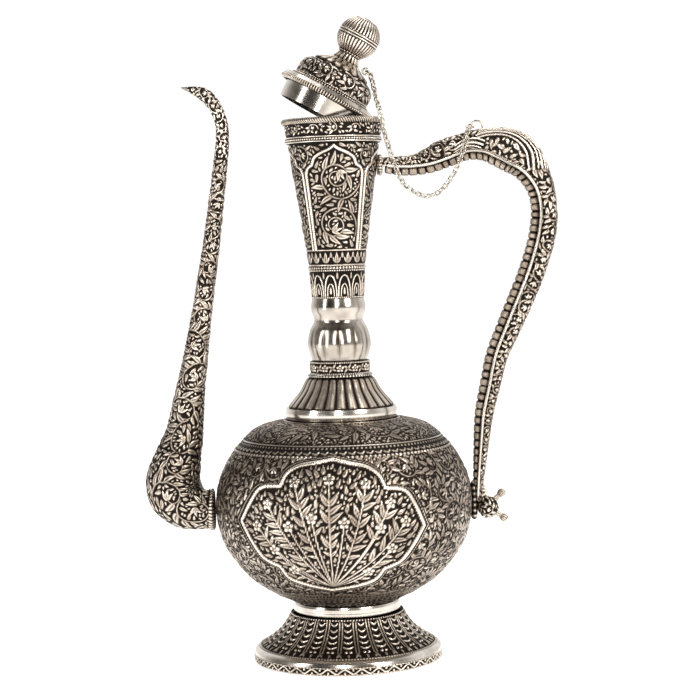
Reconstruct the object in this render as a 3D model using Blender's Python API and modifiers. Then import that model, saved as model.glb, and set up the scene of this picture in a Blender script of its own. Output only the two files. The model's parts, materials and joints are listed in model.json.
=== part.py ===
"""A chased silver ewer with a tall tapered neck, a long swan spout, an arched handle and a plug lid on a chain.

Metres, +Z up. The origin is on the body's axis, on the surface that the foot stands on.
The spout points along -X and the handle along +X. Sizes below are in millimetres.
"""

import math

import bpy
from mathutils import Euler, Matrix, Vector

MM = 0.001
GAP = 0.3
WALL = 1.5
WIDE_STEPS = 36
SLIM_STEPS = 24
OBJECT_NAME = "chased_silver_ewer"

# Driving heights of the turned parts, from the foot up.
FOOT_BAND_TOP = 7.8
FOOT_SHELL_TOP = 25.5
FOOT_COLLAR_TOP = 31.0
BODY_SEAM = 96.5
BODY_TOP = 128.3
SHOULDER_TOP = 134.3
BELL_TOP = 150.0
FOLIATE_TOP = 158.4
KNOP_TOP = 191.6
ARCADE_TOP = 206.9
NECK_BOTTOM = 208.9
NECK_TOP = 272.7
RIM_TOP = 286.0

# The spout meets the body here, and the handle's foot stands opposite.
SPOUT_HEIGHT = 81.2
SPOUT_HOLE_RADIUS = 7.5
ELBOW_START = -71.5
TUBE_WALL = 0.9

# The lid turns about this line between its leaning rest and its seat on the rim.
LID_PIVOT_X = 17.2
LID_PIVOT_Z = 299.8
LID_REST_TILT = math.radians(30)
LID_SEAT_X = 1.0
LID_SEAT_Z = 286.6
SLEEVE_DEPTH = 9.0
EYELET = (11.6, 22.9)

SILVER = (0.62, 0.58, 0.54)
POLISHED = (0.86, 0.84, 0.81)
CHAIN_SILVER = (0.8, 0.78, 0.74)


def material(name, colour, roughness):
    """A silver finish, made once and shared."""
    found = bpy.data.materials.get(name)
    if found:
        return found
    made = bpy.data.materials.new(name)
    made.use_nodes = True
    shader = made.node_tree.nodes["Principled BSDF"]
    shader.inputs["Base Color"].default_value = (*colour, 1)
    shader.inputs["Roughness"].default_value = roughness
    shader.inputs["Metallic"].default_value = 1
    return made


def chased():
    return material("chased_silver", SILVER, 0.42)


def polished():
    return material("polished_silver", POLISHED, 0.16)


def bright_wire():
    return material("chain_silver", CHAIN_SILVER, 0.28)


def place(name, data, finish, parent=None):
    """Link one named part into the parts' collection."""
    part = bpy.data.objects.new(name, data)
    parts.objects.link(part)
    data.materials.append(finish)
    if parent:
        part.parent = parent
    return part


def turned(name, profile, finish, steps=SLIM_STEPS, closed=True):
    """Turn (radius, height) points about Z: they run down the outer side, then up the inner side."""
    data = bpy.data.meshes.new(name)
    edges = [(i, i + 1) for i in range(len(profile) - 1)]
    if closed:
        edges.append((len(profile) - 1, 0))
    data.from_pydata([(r * MM, 0, z * MM) for r, z in profile], edges, [])
    part = place(name, data, finish)
    screw = part.modifiers.new("turn", "SCREW")
    screw.axis = "Z"
    screw.steps = screw.render_steps = steps
    screw.use_merge_vertices = True
    screw.merge_threshold = 0.00001
    screw.use_smooth_shade = True
    return part


def shell(name, outline, wall, finish, steps=SLIM_STEPS):
    """A turned shell of even wall inside an outline that runs from top to bottom."""
    inner = [(r - wall, z) for r, z in reversed(outline)]
    return turned(name, outline + inner, finish, steps)


def band(name, outer, inner, bottom, top, finish, crown=0.0, steps=SLIM_STEPS):
    """A plain or crowned ring between two heights."""
    middle = (bottom + top) / 2
    profile = [(outer, top), (outer + crown, middle), (outer, bottom), (inner, bottom), (inner, top)]
    return turned(name, profile, finish, steps)


def curve_data(name, points, radii, sides_resolution, caps=True):
    """A round wire or tube through the points, in millimetres, with a radius at each."""
    data = bpy.data.curves.new(name, "CURVE")
    data.dimensions = "3D"
    data.bevel_depth = MM
    data.bevel_resolution = sides_resolution
    data.use_fill_caps = caps
    spline = data.splines.new("POLY")
    spline.points.add(len(points) - 1)
    for point, place_at, radius in zip(spline.points, points, radii):
        point.co = (*(c * MM for c in place_at), 1)
        point.radius = radius
    return data


def wire(name, points, radius, finish, sides_resolution=1, parent=None):
    data = curve_data(name, points, [radius] * len(points), sides_resolution)
    return place(name, data, finish, parent)


def smooth(points, per_span):
    """Read a smooth curve through the points, each of which may carry further values."""
    last = len(points) - 1
    found = []
    for i in range(last):
        a, b, c, d = (points[min(max(k, 0), last)] for k in (i - 1, i, i + 1, i + 2))
        for step in range(per_span):
            t = step / per_span
            found.append(tuple(
                0.5 * (2 * q + (r - p) * t + (2 * p - 5 * q + 4 * r - s) * t * t
                       + (3 * q - p - 3 * r + s) * t ** 3)
                for p, q, r, s in zip(a, b, c, d)
            ))
    return found + [tuple(points[last])]


def tube(name, stations, wall, finish, per_span=3, sides_resolution=3):
    """A hollow tube in the XZ plane: stations are (x, z, outer radius)."""
    read = smooth(stations, per_span)
    points = [(x, 0, z) for x, z, _ in read]
    data = curve_data(name, points, [r for _, _, r in read], sides_resolution, caps=False)
    guide = bpy.data.objects.new(name + "_guide", data)
    parts.objects.link(guide)
    bpy.context.view_layer.update()
    evaluated = guide.evaluated_get(bpy.context.evaluated_depsgraph_get())
    part = place(name, bpy.data.meshes.new_from_object(evaluated), finish)
    bpy.data.objects.remove(guide)
    thicken = part.modifiers.new("wall", "SOLIDIFY")
    thicken.thickness = wall * MM
    thicken.offset = -1
    return part


def cut(part, cutter):
    """Take the cutter's shape out of the part."""
    cutter.hide_render = True
    cutter.display_type = "WIRE"
    for collection in cutter.users_collection:
        collection.objects.unlink(cutter)
    cutters.objects.link(cutter)
    difference = part.modifiers.new("cut", "BOOLEAN")
    difference.operation = "DIFFERENCE"
    difference.solver = "EXACT"
    difference.object = cutter


def torus(name, centre, major, minor, axis, finish, parent=None, segments=(16, 6)):
    """A wire ring about an axis through its centre."""
    bpy.ops.mesh.primitive_torus_add(
        major_radius=major * MM, minor_radius=minor * MM,
        major_segments=segments[0], minor_segments=segments[1],
    )
    made = bpy.context.object
    part = place(name, made.data, finish, parent)
    bpy.data.objects.remove(made)
    turn = Vector((0, 0, 1)).rotation_difference(Vector(axis)).to_matrix().to_4x4()
    part.matrix_local = Matrix.Translation(Vector(centre) * MM) @ turn
    return part


def build_foot():
    turned("foot_base_plate", [(0, 1.5), (45.6, 1.5), (45.6, 0), (0, 0)], chased(), WIDE_STEPS, closed=False)
    rim = [(47.6, FOOT_BAND_TOP), (50.2, 2.6), (49.6, 0), (46.2, 0), (46.2, FOOT_BAND_TOP)]
    turned("foot_rim_band", rim, chased(), WIDE_STEPS)
    flare = [(29.6, FOOT_SHELL_TOP), (32.4, 20.4), (36.6, 15.2), (42, 11), (47.3, FOOT_BAND_TOP + GAP)]
    shell("foot_shell", flare, WALL, chased(), WIDE_STEPS)
    band("foot_collar", 28.4, 26, FOOT_SHELL_TOP + GAP, FOOT_COLLAR_TOP, polished(), 0.3, 32)


def build_body():
    floor = FOOT_COLLAR_TOP + GAP
    outer = [(66.1, BODY_SEAM), (68, 85), (67.3, 73.8), (64.2, 62.9), (58.5, 53.9), (50.9, 45),
             (39.7, 37.2), (27.7, floor), (0, floor)]
    inner = [(0, floor + WALL), (27, floor + WALL), (38.6, 38.9), (49.6, 46.7), (57, 55.1),
             (62.6, 63.5), (65.7, 74), (66.4, 85), (64.6, BODY_SEAM)]
    lower = turned("body_lower", inner + outer, chased(), WIDE_STEPS, closed=False)
    bpy.ops.mesh.primitive_cylinder_add(
        vertices=20, radius=SPOUT_HOLE_RADIUS * MM, depth=20 * MM,
        location=(-66 * MM, 0, SPOUT_HEIGHT * MM), rotation=(0, math.pi / 2, 0),
    )
    cutter = bpy.context.object
    cutter.name = "spout_hole_cutter"
    cut(lower, cutter)
    dome = [(29.6, BODY_TOP), (44.2, 124.7), (53.1, 118), (61, 107.7), (66.1, BODY_SEAM + GAP)]
    shell("body_upper", dome, WALL, chased(), WIDE_STEPS)
    band("shoulder_ring", 29.2, 26.4, BODY_TOP + GAP, SHOULDER_TOP, polished(), 0.5, 32)


def build_neck():
    flute = [(16.8, BELL_TOP), (18.5, 147.6), (20.8, 143.2), (24.2, 138.9), (28, SHOULDER_TOP + GAP)]
    shell("neck_bell", flute, WALL, chased(), 32)
    band("neck_bell_ring", 16.9, 14.6, BELL_TOP + GAP, 151.6, polished(), 0.4)
    band("neck_foliate_band", 15.9, 14.4, 151.9, FOLIATE_TOP, chased(), 0.2)
    knop = [(13.8, KNOP_TOP), (14.5, 186), (13, 180), (15.5, 175), (16.8, 168), (14.5, FOLIATE_TOP + GAP)]
    shell("neck_knop", knop, WALL, polished())
    band_profile = [(15, ARCADE_TOP), (13.8, KNOP_TOP + GAP), (12.3, KNOP_TOP + GAP), (13.5, ARCADE_TOP)]
    turned("neck_arcade_band", band_profile, chased())
    band("neck_arcade_ring", 14.9, 13.2, ARCADE_TOP + GAP, NECK_BOTTOM - GAP, polished(), 0.4)
    cone = [(23.8, NECK_TOP), (22.3, 259.6), (20.7, 249.2), (18.9, 237.3), (17.3, 226.2), (14.8, NECK_BOTTOM)]
    shell("neck_shell", cone, 1.3, chased(), 32)


def build_mouth():
    moulding = [(25.4, 276.8), (25.8, 275.9), (25.0, 275), (25.5, 274), (24.8, NECK_TOP + GAP),
                (23.4, NECK_TOP + GAP), (23.4, 276.8)]
    turned("collar_moulding", moulding, polished())
    turned("collar_band", [(25.9, 283), (25.4, 277.1), (24.6, 277.1), (24.7, 283)], chased())
    rim = [(26.2, RIM_TOP), (27.2, 285.2), (27.2, 284.2), (26.2, 283.3), (25.1, 283.3), (24.7, 284.3), (25.2, 285.7)]
    turned("mouth_rim", rim, polished())


SPOUT_ELBOW = [(ELBOW_START, 81.3, 10.1), (-77, 81.6, 11.2), (-84, 84.2, 13.2), (-89.2, 90, 14.7),
               (-90.4, 97.5, 14.6), (-88.6, 105.5, 13.2), (-86.4, 113, 11.8)]
SPOUT_TUBE = [(-86.3, 113.3, 11.7), (-84, 121, 10.3), (-81.7, 133.5, 8.9), (-79.4, 147, 7.6), (-76.7, 161, 6.7),
              (-71.6, 190, 5.2), (-66.4, 220, 4.5), (-63.9, 236.5, 4.2), (-61.5, 252.7, 4), (-59.5, 267, 3.7)]
SPOUT_BEAK = [(-59.4, 267.3, 3.7), (-58.3, 278.5, 3.4), (-59, 287, 3.3), (-62, 294.5, 3.4), (-66.5, 300.2, 3.5),
              (-72.5, 303.9, 3.4), (-80.5, 307.4, 2.8)]
BEAK_TOP = 305.0


def build_spout():
    ring = band("spout_collar", 10.9, 8.3, -1.2, 1.2, chased(), 0.4)
    ring.matrix_local = Matrix.Translation(Vector((-70, 0, SPOUT_HEIGHT)) * MM) @ Matrix.Rotation(math.pi / 2, 4, "Y")
    tube("spout_elbow", SPOUT_ELBOW, TUBE_WALL, chased(), 2)
    tube("spout_tube", SPOUT_TUBE, TUBE_WALL, chased(), 1)
    beak = tube("spout_beak", SPOUT_BEAK, TUBE_WALL, chased(), 2)
    bpy.ops.mesh.primitive_cube_add(size=30 * MM, location=(-75 * MM, 0, (BEAK_TOP + 15) * MM))
    cutter = bpy.context.object
    cutter.name = "beak_mouth_cutter"
    cut(beak, cutter)


# The handle's middle line: (x, z, width in the view from the front, half thickness).
HANDLE = [
    (26.0, 261.2, 8.5, 4.6), (34, 260.5, 10.1, 5.2), (42.3, 260.6, 10.9, 5.6), (50.5, 262.8, 13.4, 6),
    (58.5, 266.2, 15.2, 6.3), (69, 269.4, 14.6, 6.4), (78.5, 270.4, 17, 6.4), (86.5, 269, 20.5, 6.5),
    (93.5, 266.5, 22.5, 6.5), (99.6, 262.5, 21.5, 6.5), (104.7, 255.7, 17.6, 6.3), (108.6, 247, 14.7, 6),
    (110.3, 237.4, 13.9, 5.6), (110, 227.5, 14.3, 5.4), (107.4, 215.5, 14.2, 5.2), (102.2, 200.5, 14, 5.1),
    (96.2, 186.8, 13.8, 5), (89.8, 173, 13, 4.9), (83.4, 158.7, 11.8, 4.8), (79.2, 142.4, 10.9, 4.7),
    (75.6, 126.9, 9.8, 4.6), (73.4, 107.5, 7.6, 4.5), (71.9, 92.6, 5.6, 4.4),
]
STRIP_SHARE = 0.45
STRIP_DEPTH = 4.6
STRIP_HALF = 3.2
RAIL_RADIUS = 0.8
RAIL_STAND = 1.3
BLOCK_PITCH = 4.1
BLOCK_GROOVE = 0.9


def handle_frame():
    """The handle's stations with the unit vector that points to its outer side."""
    read = smooth(HANDLE, 2)
    framed = []
    for i, (x, z, width, half) in enumerate(read):
        before, after = read[max(i - 1, 0)], read[min(i + 1, len(read) - 1)]
        along = Vector((after[0] - before[0], 0, after[1] - before[1])).normalized()
        outward = Vector((-along.z, 0, along.x))
        framed.append((Vector((x, 0, z)), outward, width, half))
    return framed


def inset_of(width):
    """How far in from the inner edge the back starts."""
    return min(STRIP_DEPTH + GAP, STRIP_SHARE * width)


def loft(name, rings, finish):
    """Close a row of like sections into one body."""
    sides = len(rings[0])
    faces = [tuple(reversed(range(sides)))]
    for row in range(len(rings) - 1):
        for k in range(sides):
            a, b = row * sides + k, row * sides + (k + 1) % sides
            faces.append((a, b, b + sides, a + sides))
    faces.append(tuple(range((len(rings) - 1) * sides, len(rings) * sides)))
    data = bpy.data.meshes.new(name)
    data.from_pydata([tuple(v * MM) for ring in rings for v in ring], [], faces)
    return place(name, data, finish)


def back_section(centre, outward, width, half):
    """The chased back: flat towards the belly strip, round outside."""
    inset = inset_of(width)
    start = centre + outward * (inset - width / 2)
    depth = width - inset
    shape = [(0, 0.72), (0.35, 1), (0.72, 0.86), (0.95, 0.4), (0.95, -0.4), (0.72, -0.86), (0.35, -1), (0, -0.72)]
    return [start + outward * (depth * u * 1.03) + Vector((0, half * v, 0)) for u, v in shape]


def strip_section(centre, outward, width, groove):
    """The belly strip, shallower in the grooves between its blocks."""
    low = groove * BLOCK_GROOVE - width / 2
    high = inset_of(width) - GAP - width / 2
    corners = ((high, STRIP_HALF), (high, -STRIP_HALF), (low, -STRIP_HALF), (low, STRIP_HALF))
    return [centre + outward * u + Vector((0, v, 0)) for u, v in corners]


def block_rows(frame):
    """Sections of the ribbed strip: a pair for each block and a pair for each groove."""
    lengths = [0.0]
    for a, b in zip(frame, frame[1:]):
        lengths.append(lengths[-1] + (b[0] - a[0]).length)
    first, last = lengths[1], lengths[-4]
    count = int((last - first) / BLOCK_PITCH)
    rows = []
    for block in range(count):
        start = first + block * BLOCK_PITCH
        marks = ((0, 0), (0.74, 0), (0.76, 1), (0.98, 1))
        for share, groove in marks:
            rows.append(strip_section(*at_length(frame, lengths, start + share * BLOCK_PITCH), groove))
    return rows


def at_length(frame, lengths, wanted):
    """The handle's centre, outward vector and width at a length along it."""
    index = next(i for i in range(len(lengths) - 1) if lengths[i + 1] >= wanted)
    t = (wanted - lengths[index]) / (lengths[index + 1] - lengths[index])
    a, b = frame[index], frame[index + 1]
    return a[0].lerp(b[0], t), a[1].lerp(b[1], t).normalized(), a[2] + (b[2] - a[2]) * t


def build_handle():
    frame = handle_frame()
    loft("handle_back", [back_section(*station) for station in frame], chased())
    loft("handle_belly_strip", block_rows(frame), chased())
    run = frame[1:-5:2]
    for name, side in (("handle_rail_front", -1), ("handle_rail_rear", 1)):
        points = [
            c + o * (inset_of(w) - w / 2) + Vector((0, side * (0.72 * half + RAIL_STAND), 0))
            for c, o, w, half in run
        ]
        wire(name, points, RAIL_RADIUS, polished())
    build_handle_ends()


def build_handle_ends():
    socket = band("handle_socket", 5.0, 2.0, 0, 1.5, chased(), 0.4)
    socket.matrix_local = Matrix.Translation(Vector((23.8, 0, 261.2)) * MM) @ Matrix.Rotation(math.pi / 2, 4, "Y")
    bpy.ops.mesh.primitive_cube_add(size=1, location=(69.25 * MM, 0, 82.6 * MM))
    made = bpy.context.object
    pad = place("handle_foot_pad", made.data, chased())
    pad.data.transform(Matrix.Diagonal((1.7 * MM, 9.2 * MM, 18.4 * MM, 1)))
    pad.location = made.location
    bpy.data.objects.remove(made)
    edges = pad.modifiers.new("edges", "BEVEL")
    edges.width = 0.4 * MM
    edges.segments = 1
    ball = turned("handle_ball", ball_profile(6.0, 9), chased(), 20, closed=False)
    ball.location = Vector((76.5, 0, 78.1)) * MM
    for name, target in (("handle_nub_upper", (84.1, 85.5)), ("handle_nub_lower", (84, 72.7))):
        nub_profile = [(0, 12.6), (1.2, 12.2), (2, 10.8), (1.5, 9.3), (0.9, 8.6), (0.9, 6.5), (0, 6.5)]
        nub = turned(name, nub_profile, chased(), 12, closed=False)
        reach = Vector((target[0] - 76.5, 0, target[1] - 78.1))
        turn = Vector((0, 0, 1)).rotation_difference(reach).to_matrix().to_4x4()
        nub.matrix_local = Matrix.Translation(Vector((76.5, 0, 78.1)) * MM) @ turn


def ball_profile(radius, rows, middle=0.0):
    """Half a circle from the top pole to the bottom one."""
    angles = [math.pi * i / (rows - 1) for i in range(rows)]
    return [(max(radius * math.sin(a), 0) if 0 < i < rows - 1 else 0, middle + radius * math.cos(a))
            for i, a in enumerate(angles)]


CHAIN_ROUTE = [
    (21.5, -2.9, 304.6), (22.4, -6.5, 299.8), (23.2, -12.6, 294.3), (24.3, -17.2, 289.8), (25, -18.2, 285.2),
    (26.1, -17.4, 279.5), (28, -15, 272.6), (30.2, -12.6, 265), (32.6, -11.2, 258.1), (35.5, -10.2, 251.9),
    (40.1, -9.4, 247.4), (47.4, -9, 243.9), (54.3, -9, 245.6), (59.8, -9.2, 251.2), (64.1, -9.4, 257.8),
    (67.2, -9.4, 265.4), (69.2, -8.8, 272.0), (70.4, -7.2, 276.6), (71.0, -4.9, 279.9),
]
CHAIN_RADIUS = 1.7


def build_chain():
    wire("chain", smooth(CHAIN_ROUTE, 3), CHAIN_RADIUS, bright_wire(), 2)
    arch = [(72.9, 0, 278.3), (72.9, 0, 280.6), (74, 0, 282.4), (75.8, 0, 283), (77.6, 0, 282.6),
            (78.7, 0, 281), (78.8, 0, 279.5)]
    wire("handle_chain_loop", arch, 0.5, bright_wire())
    torus("chain_handle_ring", (72.2, -0.65, 279.9), 2.0, 0.45, (0.05, -0.15, 1), bright_wire())


def lid_parent():
    """The hinge line: its frame leans with the lid, so the lid's own heights run up its axis."""
    pivot = bpy.data.objects.new("lid_pivot", None)
    parts.objects.link(pivot)
    pivot.location = Vector((LID_PIVOT_X, 0, LID_PIVOT_Z)) * MM
    pivot.rotation_euler = Euler((0, LID_REST_TILT, 0))
    return pivot


def build_lid():
    pivot = lid_parent()
    seat = Vector((LID_SEAT_X - LID_PIVOT_X, 0, LID_SEAT_Z - LID_PIVOT_Z))
    steps = SLIM_STEPS
    pieces = [
        turned("lid_sleeve", [(22.8, -GAP), (22.3, -SLEEVE_DEPTH), (21.4, -SLEEVE_DEPTH), (21.8, -GAP)], polished(), steps),
        turned("lid_flange", [(25.2, 4.2), (26.8, 2), (26.8, 1.3), (25.1, 0), (20.4, 0), (20.4, 4.2)], polished(), steps),
        band("lid_bead_ring", 21.9, 19.8, 4.5, 5.6, chased(), 0.5, steps),
        shell("lid_dome", [(16.4, 16.7), (19.4, 14.4), (20.7, 11.8), (20.7, 5.9)], 1.2, chased(), steps),
        turned("lid_cap", [(5.5, 26.2), (6.2, 24.4), (7.8, 22.2), (10.6, 20.2), (14.7, 18.8), (14.9, 17),
                           (13.6, 17), (9.8, 18.8), (6.8, 20.8), (4.4, 23.8), (4.2, 26.2)], chased(), steps),
        turned("finial_neck", [(0, 27.6), (5.8, 27.6), (6.4, 27), (5.8, 26.5), (0, 26.5)], chased(), 20, closed=False),
        turned("finial_ball", finial_profile(), chased(), SLIM_STEPS, closed=False),
    ]
    for piece in pieces:
        piece.parent = pivot
        piece.location = seat * MM
    eyelet_at = seat + Vector((EYELET[0], 0, EYELET[1]))
    torus("lid_eyelet", eyelet_at, 1.6, 0.5, (0, 1, 0), bright_wire(), pivot)
    ring_at = eyelet_at + Vector((2.0, -0.3, 0.2))
    torus("chain_lid_ring", ring_at, 2.0, 0.45, (-0.1, 0.15, 1), bright_wire(), pivot)


def finial_profile():
    """A ball with a flat under it, standing on its beaded neck."""
    ball = ball_profile(11.1, 13, 36.6)
    upper = [point for point in ball if point[1] > 28.5]
    return upper + [(6.6, 27.9), (0, 27.9)]


for old in list(bpy.data.objects):
    bpy.data.objects.remove(old, do_unlink=True)
parts = bpy.data.collections.new(OBJECT_NAME)
cutters = bpy.data.collections.new("cutters")
for collection in (parts, cutters):
    bpy.context.scene.collection.children.link(collection)
build_foot()
build_body()
build_neck()
build_mouth()
build_spout()
build_handle()
build_chain()
build_lid()
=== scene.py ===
"""The looks of a chased silver ewer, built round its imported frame.

Lengths are in millimetres in the frame's axes: +Z up, the spout on -X, the handle on +X, the front panel at -Y.
Each chased piece is a fine grid whose relief comes from a height map that is drawn here, mark by mark.
"""

import json
import math

import bpy
import numpy as np
from mathutils import Matrix, Vector


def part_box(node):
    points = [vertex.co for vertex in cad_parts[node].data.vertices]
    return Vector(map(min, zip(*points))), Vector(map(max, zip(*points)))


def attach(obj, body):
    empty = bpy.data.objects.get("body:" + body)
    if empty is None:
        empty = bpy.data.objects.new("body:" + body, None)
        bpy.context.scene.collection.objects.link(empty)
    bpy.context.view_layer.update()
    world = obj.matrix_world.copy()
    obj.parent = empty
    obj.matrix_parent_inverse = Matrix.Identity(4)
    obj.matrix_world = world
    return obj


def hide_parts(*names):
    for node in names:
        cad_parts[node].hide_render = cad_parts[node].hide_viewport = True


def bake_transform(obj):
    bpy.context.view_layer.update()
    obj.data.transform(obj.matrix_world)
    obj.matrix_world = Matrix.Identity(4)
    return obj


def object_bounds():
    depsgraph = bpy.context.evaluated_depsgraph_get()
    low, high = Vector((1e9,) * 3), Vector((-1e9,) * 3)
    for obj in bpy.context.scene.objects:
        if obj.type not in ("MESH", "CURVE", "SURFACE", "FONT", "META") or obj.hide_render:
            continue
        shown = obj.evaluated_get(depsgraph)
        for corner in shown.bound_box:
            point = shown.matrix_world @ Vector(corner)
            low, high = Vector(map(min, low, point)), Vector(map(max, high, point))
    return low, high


MM = 0.001
FRONT = -math.pi / 2
RNG = np.random.default_rng(11)

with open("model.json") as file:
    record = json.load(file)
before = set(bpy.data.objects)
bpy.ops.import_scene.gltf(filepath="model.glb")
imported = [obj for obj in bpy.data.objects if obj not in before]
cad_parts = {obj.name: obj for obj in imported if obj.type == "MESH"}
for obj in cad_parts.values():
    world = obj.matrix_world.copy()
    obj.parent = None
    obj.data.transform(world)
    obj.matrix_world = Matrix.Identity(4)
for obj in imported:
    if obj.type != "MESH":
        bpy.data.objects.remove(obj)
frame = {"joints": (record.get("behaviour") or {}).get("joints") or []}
cad_low, cad_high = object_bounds()
joints = {joint["name"]: joint for joint in frame["joints"]}


# ---------------------------------------------------------------- camera, light and floor

def build_camera():
    """A long lens in front of the pot, held with a slight roll."""
    data = bpy.data.cameras.new("camera")
    data.sensor_width = 36
    data.lens = 102.9
    data.clip_start = 0.01
    camera = bpy.data.objects.new("camera", data)
    bpy.context.scene.collection.objects.link(camera)
    camera.location = (0, -1.06, 0.225)
    yaw = Matrix.Rotation(math.radians(-0.3), 4, "Z")
    pitch = Matrix.Rotation(math.radians(90 - 3.3), 4, "X")
    roll = Matrix.Rotation(math.radians(-1.7), 4, "Z")
    camera.matrix_world = Matrix.Translation(camera.location) @ yaw @ pitch @ roll
    bpy.context.scene.camera = camera


def area_light(name, at, aim, size, power, tint=(1, 1, 1)):
    data = bpy.data.lights.new(name, "AREA")
    data.shape = "RECTANGLE"
    data.size, data.size_y = size
    data.energy = power
    data.color = tint
    light = bpy.data.objects.new(name, data)
    light.location = at
    light.rotation_euler = (Vector(aim) - Vector(at)).to_track_quat("-Z", "Y").to_euler()
    bpy.context.scene.collection.objects.link(light)


def build_studio():
    """A white tent with a darker side towards the viewer, two soft boxes and a pale floor."""
    world = bpy.data.worlds.new("studio")
    bpy.context.scene.world = world
    world.use_nodes = True
    tree = world.node_tree
    nodes, links = tree.nodes, tree.links
    where = nodes.new("ShaderNodeTexCoord")
    facing = nodes.new("ShaderNodeVectorMath")
    facing.operation = "DOT_PRODUCT"
    facing.inputs[1].default_value = (0.34, 0.92, -0.2)
    tent = nodes.new("ShaderNodeValToRGB")
    tent.color_ramp.elements[0].position = 0.1
    tent.color_ramp.elements[0].color = (0.05, 0.047, 0.044, 1)
    tent.color_ramp.elements[1].position = 0.7
    tent.color_ramp.elements[1].color = (1, 1, 1, 1)
    middle = tent.color_ramp.elements.new(0.42)
    middle.color = (0.3, 0.29, 0.28, 1)
    halve = nodes.new("ShaderNodeMath")
    halve.operation = "MULTIPLY_ADD"
    halve.inputs[1].default_value = 0.5
    halve.inputs[2].default_value = 0.5
    links.new(where.outputs["Generated"], facing.inputs[0])
    links.new(facing.outputs["Value"], halve.inputs[0])
    links.new(halve.outputs[0], tent.inputs[0])
    links.new(tent.outputs[0], nodes["Background"].inputs["Color"])
    nodes["Background"].inputs["Strength"].default_value = 1.06
    area_light("key", (0.85, -0.95, 0.75), (0, 0, 0.14), (0.4, 0.8), 10.5, (1, 0.975, 0.94))
    area_light("side", (-0.95, -0.55, 0.35), (0, 0, 0.15), (0.2, 0.9), 4.2)
    area_light("front", (-0.15, -1.3, 0.55), (0, 0, 0.14), (0.16, 0.7), 5.5, (1, 0.97, 0.93))
    area_light("top", (0.1, 0.1, 1.2), (0, 0, 0.2), (0.8, 0.6), 5)
    bpy.context.scene.view_settings.view_transform = "Standard"
    bpy.ops.mesh.primitive_plane_add(size=14, location=(0, 0, cad_low[2] - 0.0002))
    floor = bpy.context.object
    floor.name = "floor"
    paint = bpy.data.materials.new("pale_floor")
    paint.use_nodes = True
    shader = paint.node_tree.nodes["Principled BSDF"]
    shader.inputs["Base Color"].default_value = (0.93, 0.93, 0.93, 1)
    shader.inputs["Roughness"].default_value = 0.8
    shader.inputs["Emission Color"].default_value = (1, 1, 1, 1)
    shader.inputs["Emission Strength"].default_value = 0.62
    floor.data.materials.append(paint)


# ---------------------------------------------------------------- materials

def noise(tree, scale, detail, stretch=None):
    """A noise over the object's own place, in metres."""
    where = tree.nodes.new("ShaderNodeTexCoord")
    made = tree.nodes.new("ShaderNodeTexNoise")
    made.inputs["Scale"].default_value = scale
    made.inputs["Detail"].default_value = detail
    source = where.outputs["Object"]
    if stretch:
        mapping = tree.nodes.new("ShaderNodeMapping")
        mapping.inputs["Scale"].default_value = stretch
        tree.links.new(source, mapping.inputs["Vector"])
        source = mapping.outputs["Vector"]
    tree.links.new(source, made.inputs["Vector"])
    return made.outputs["Fac"]


def ramp(tree, source, stops):
    made = tree.nodes.new("ShaderNodeValToRGB")
    elements = made.color_ramp.elements
    while len(elements) < len(stops):
        elements.new(0.5)
    for element, (at, colour) in zip(elements, stops):
        element.position = at
        element.color = (*colour, 1) if len(colour) == 3 else colour
    tree.links.new(source, made.inputs["Fac"])
    return made.outputs["Color"]


def grey(value):
    return (value, value, value)


def mixed(tree, operation, a, b):
    """A Math node of two sources, either of which may be a number."""
    made = tree.nodes.new("ShaderNodeMath")
    made.operation = operation
    for socket, source in zip(made.inputs, (a, b)):
        if isinstance(source, (int, float)):
            socket.default_value = source
        else:
            tree.links.new(source, socket)
    return made.outputs[0]


def bump(tree, height, strength, distance):
    made = tree.nodes.new("ShaderNodeBump")
    made.inputs["Strength"].default_value = strength
    made.inputs["Distance"].default_value = distance
    tree.links.new(height, made.inputs["Height"])
    return made.outputs["Normal"]


def chased_silver():
    """Silver worn bright on the high relief, with brown-black oxide left in the recesses."""
    made = bpy.data.materials.new("chased_silver_oxidised")
    made.use_nodes = True
    tree = made.node_tree
    shader = tree.nodes["Principled BSDF"]
    relief = tree.nodes.new("ShaderNodeAttribute")
    relief.attribute_name = "relief"
    patchy = mixed(tree, "MULTIPLY_ADD", noise(tree, 55, 3), 0.5)
    patchy.node.inputs[2].default_value = -0.25
    speckle = mixed(tree, "MULTIPLY_ADD", noise(tree, 1500, 2), 0.36)
    speckle.node.inputs[2].default_value = -0.18
    tone = mixed(tree, "ADD", mixed(tree, "ADD", relief.outputs["Fac"], patchy), speckle)
    colour = ramp(tree, tone, [
        (0.0, (0.009, 0.006, 0.004)), (0.26, (0.026, 0.018, 0.013)), (0.46, (0.155, 0.12, 0.092)),
        (0.7, (0.42, 0.355, 0.29)), (1.0, (0.9, 0.815, 0.715)),
    ])
    tree.links.new(colour, shader.inputs["Base Color"])
    tree.links.new(ramp(tree, tone, [(0.0, grey(0.62)), (0.45, grey(0.44)), (1.0, grey(0.25))]),
                   shader.inputs["Roughness"])
    tree.links.new(ramp(tree, tone, [(0.1, grey(0.8)), (0.5, grey(1))]), shader.inputs["Metallic"])
    grain = mixed(tree, "ADD", noise(tree, 2600, 2), mixed(tree, "MULTIPLY", noise(tree, 700, 2), 0.8))
    tree.links.new(bump(tree, grain, 0.4, 0.00012), shader.inputs["Normal"])
    return made


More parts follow.
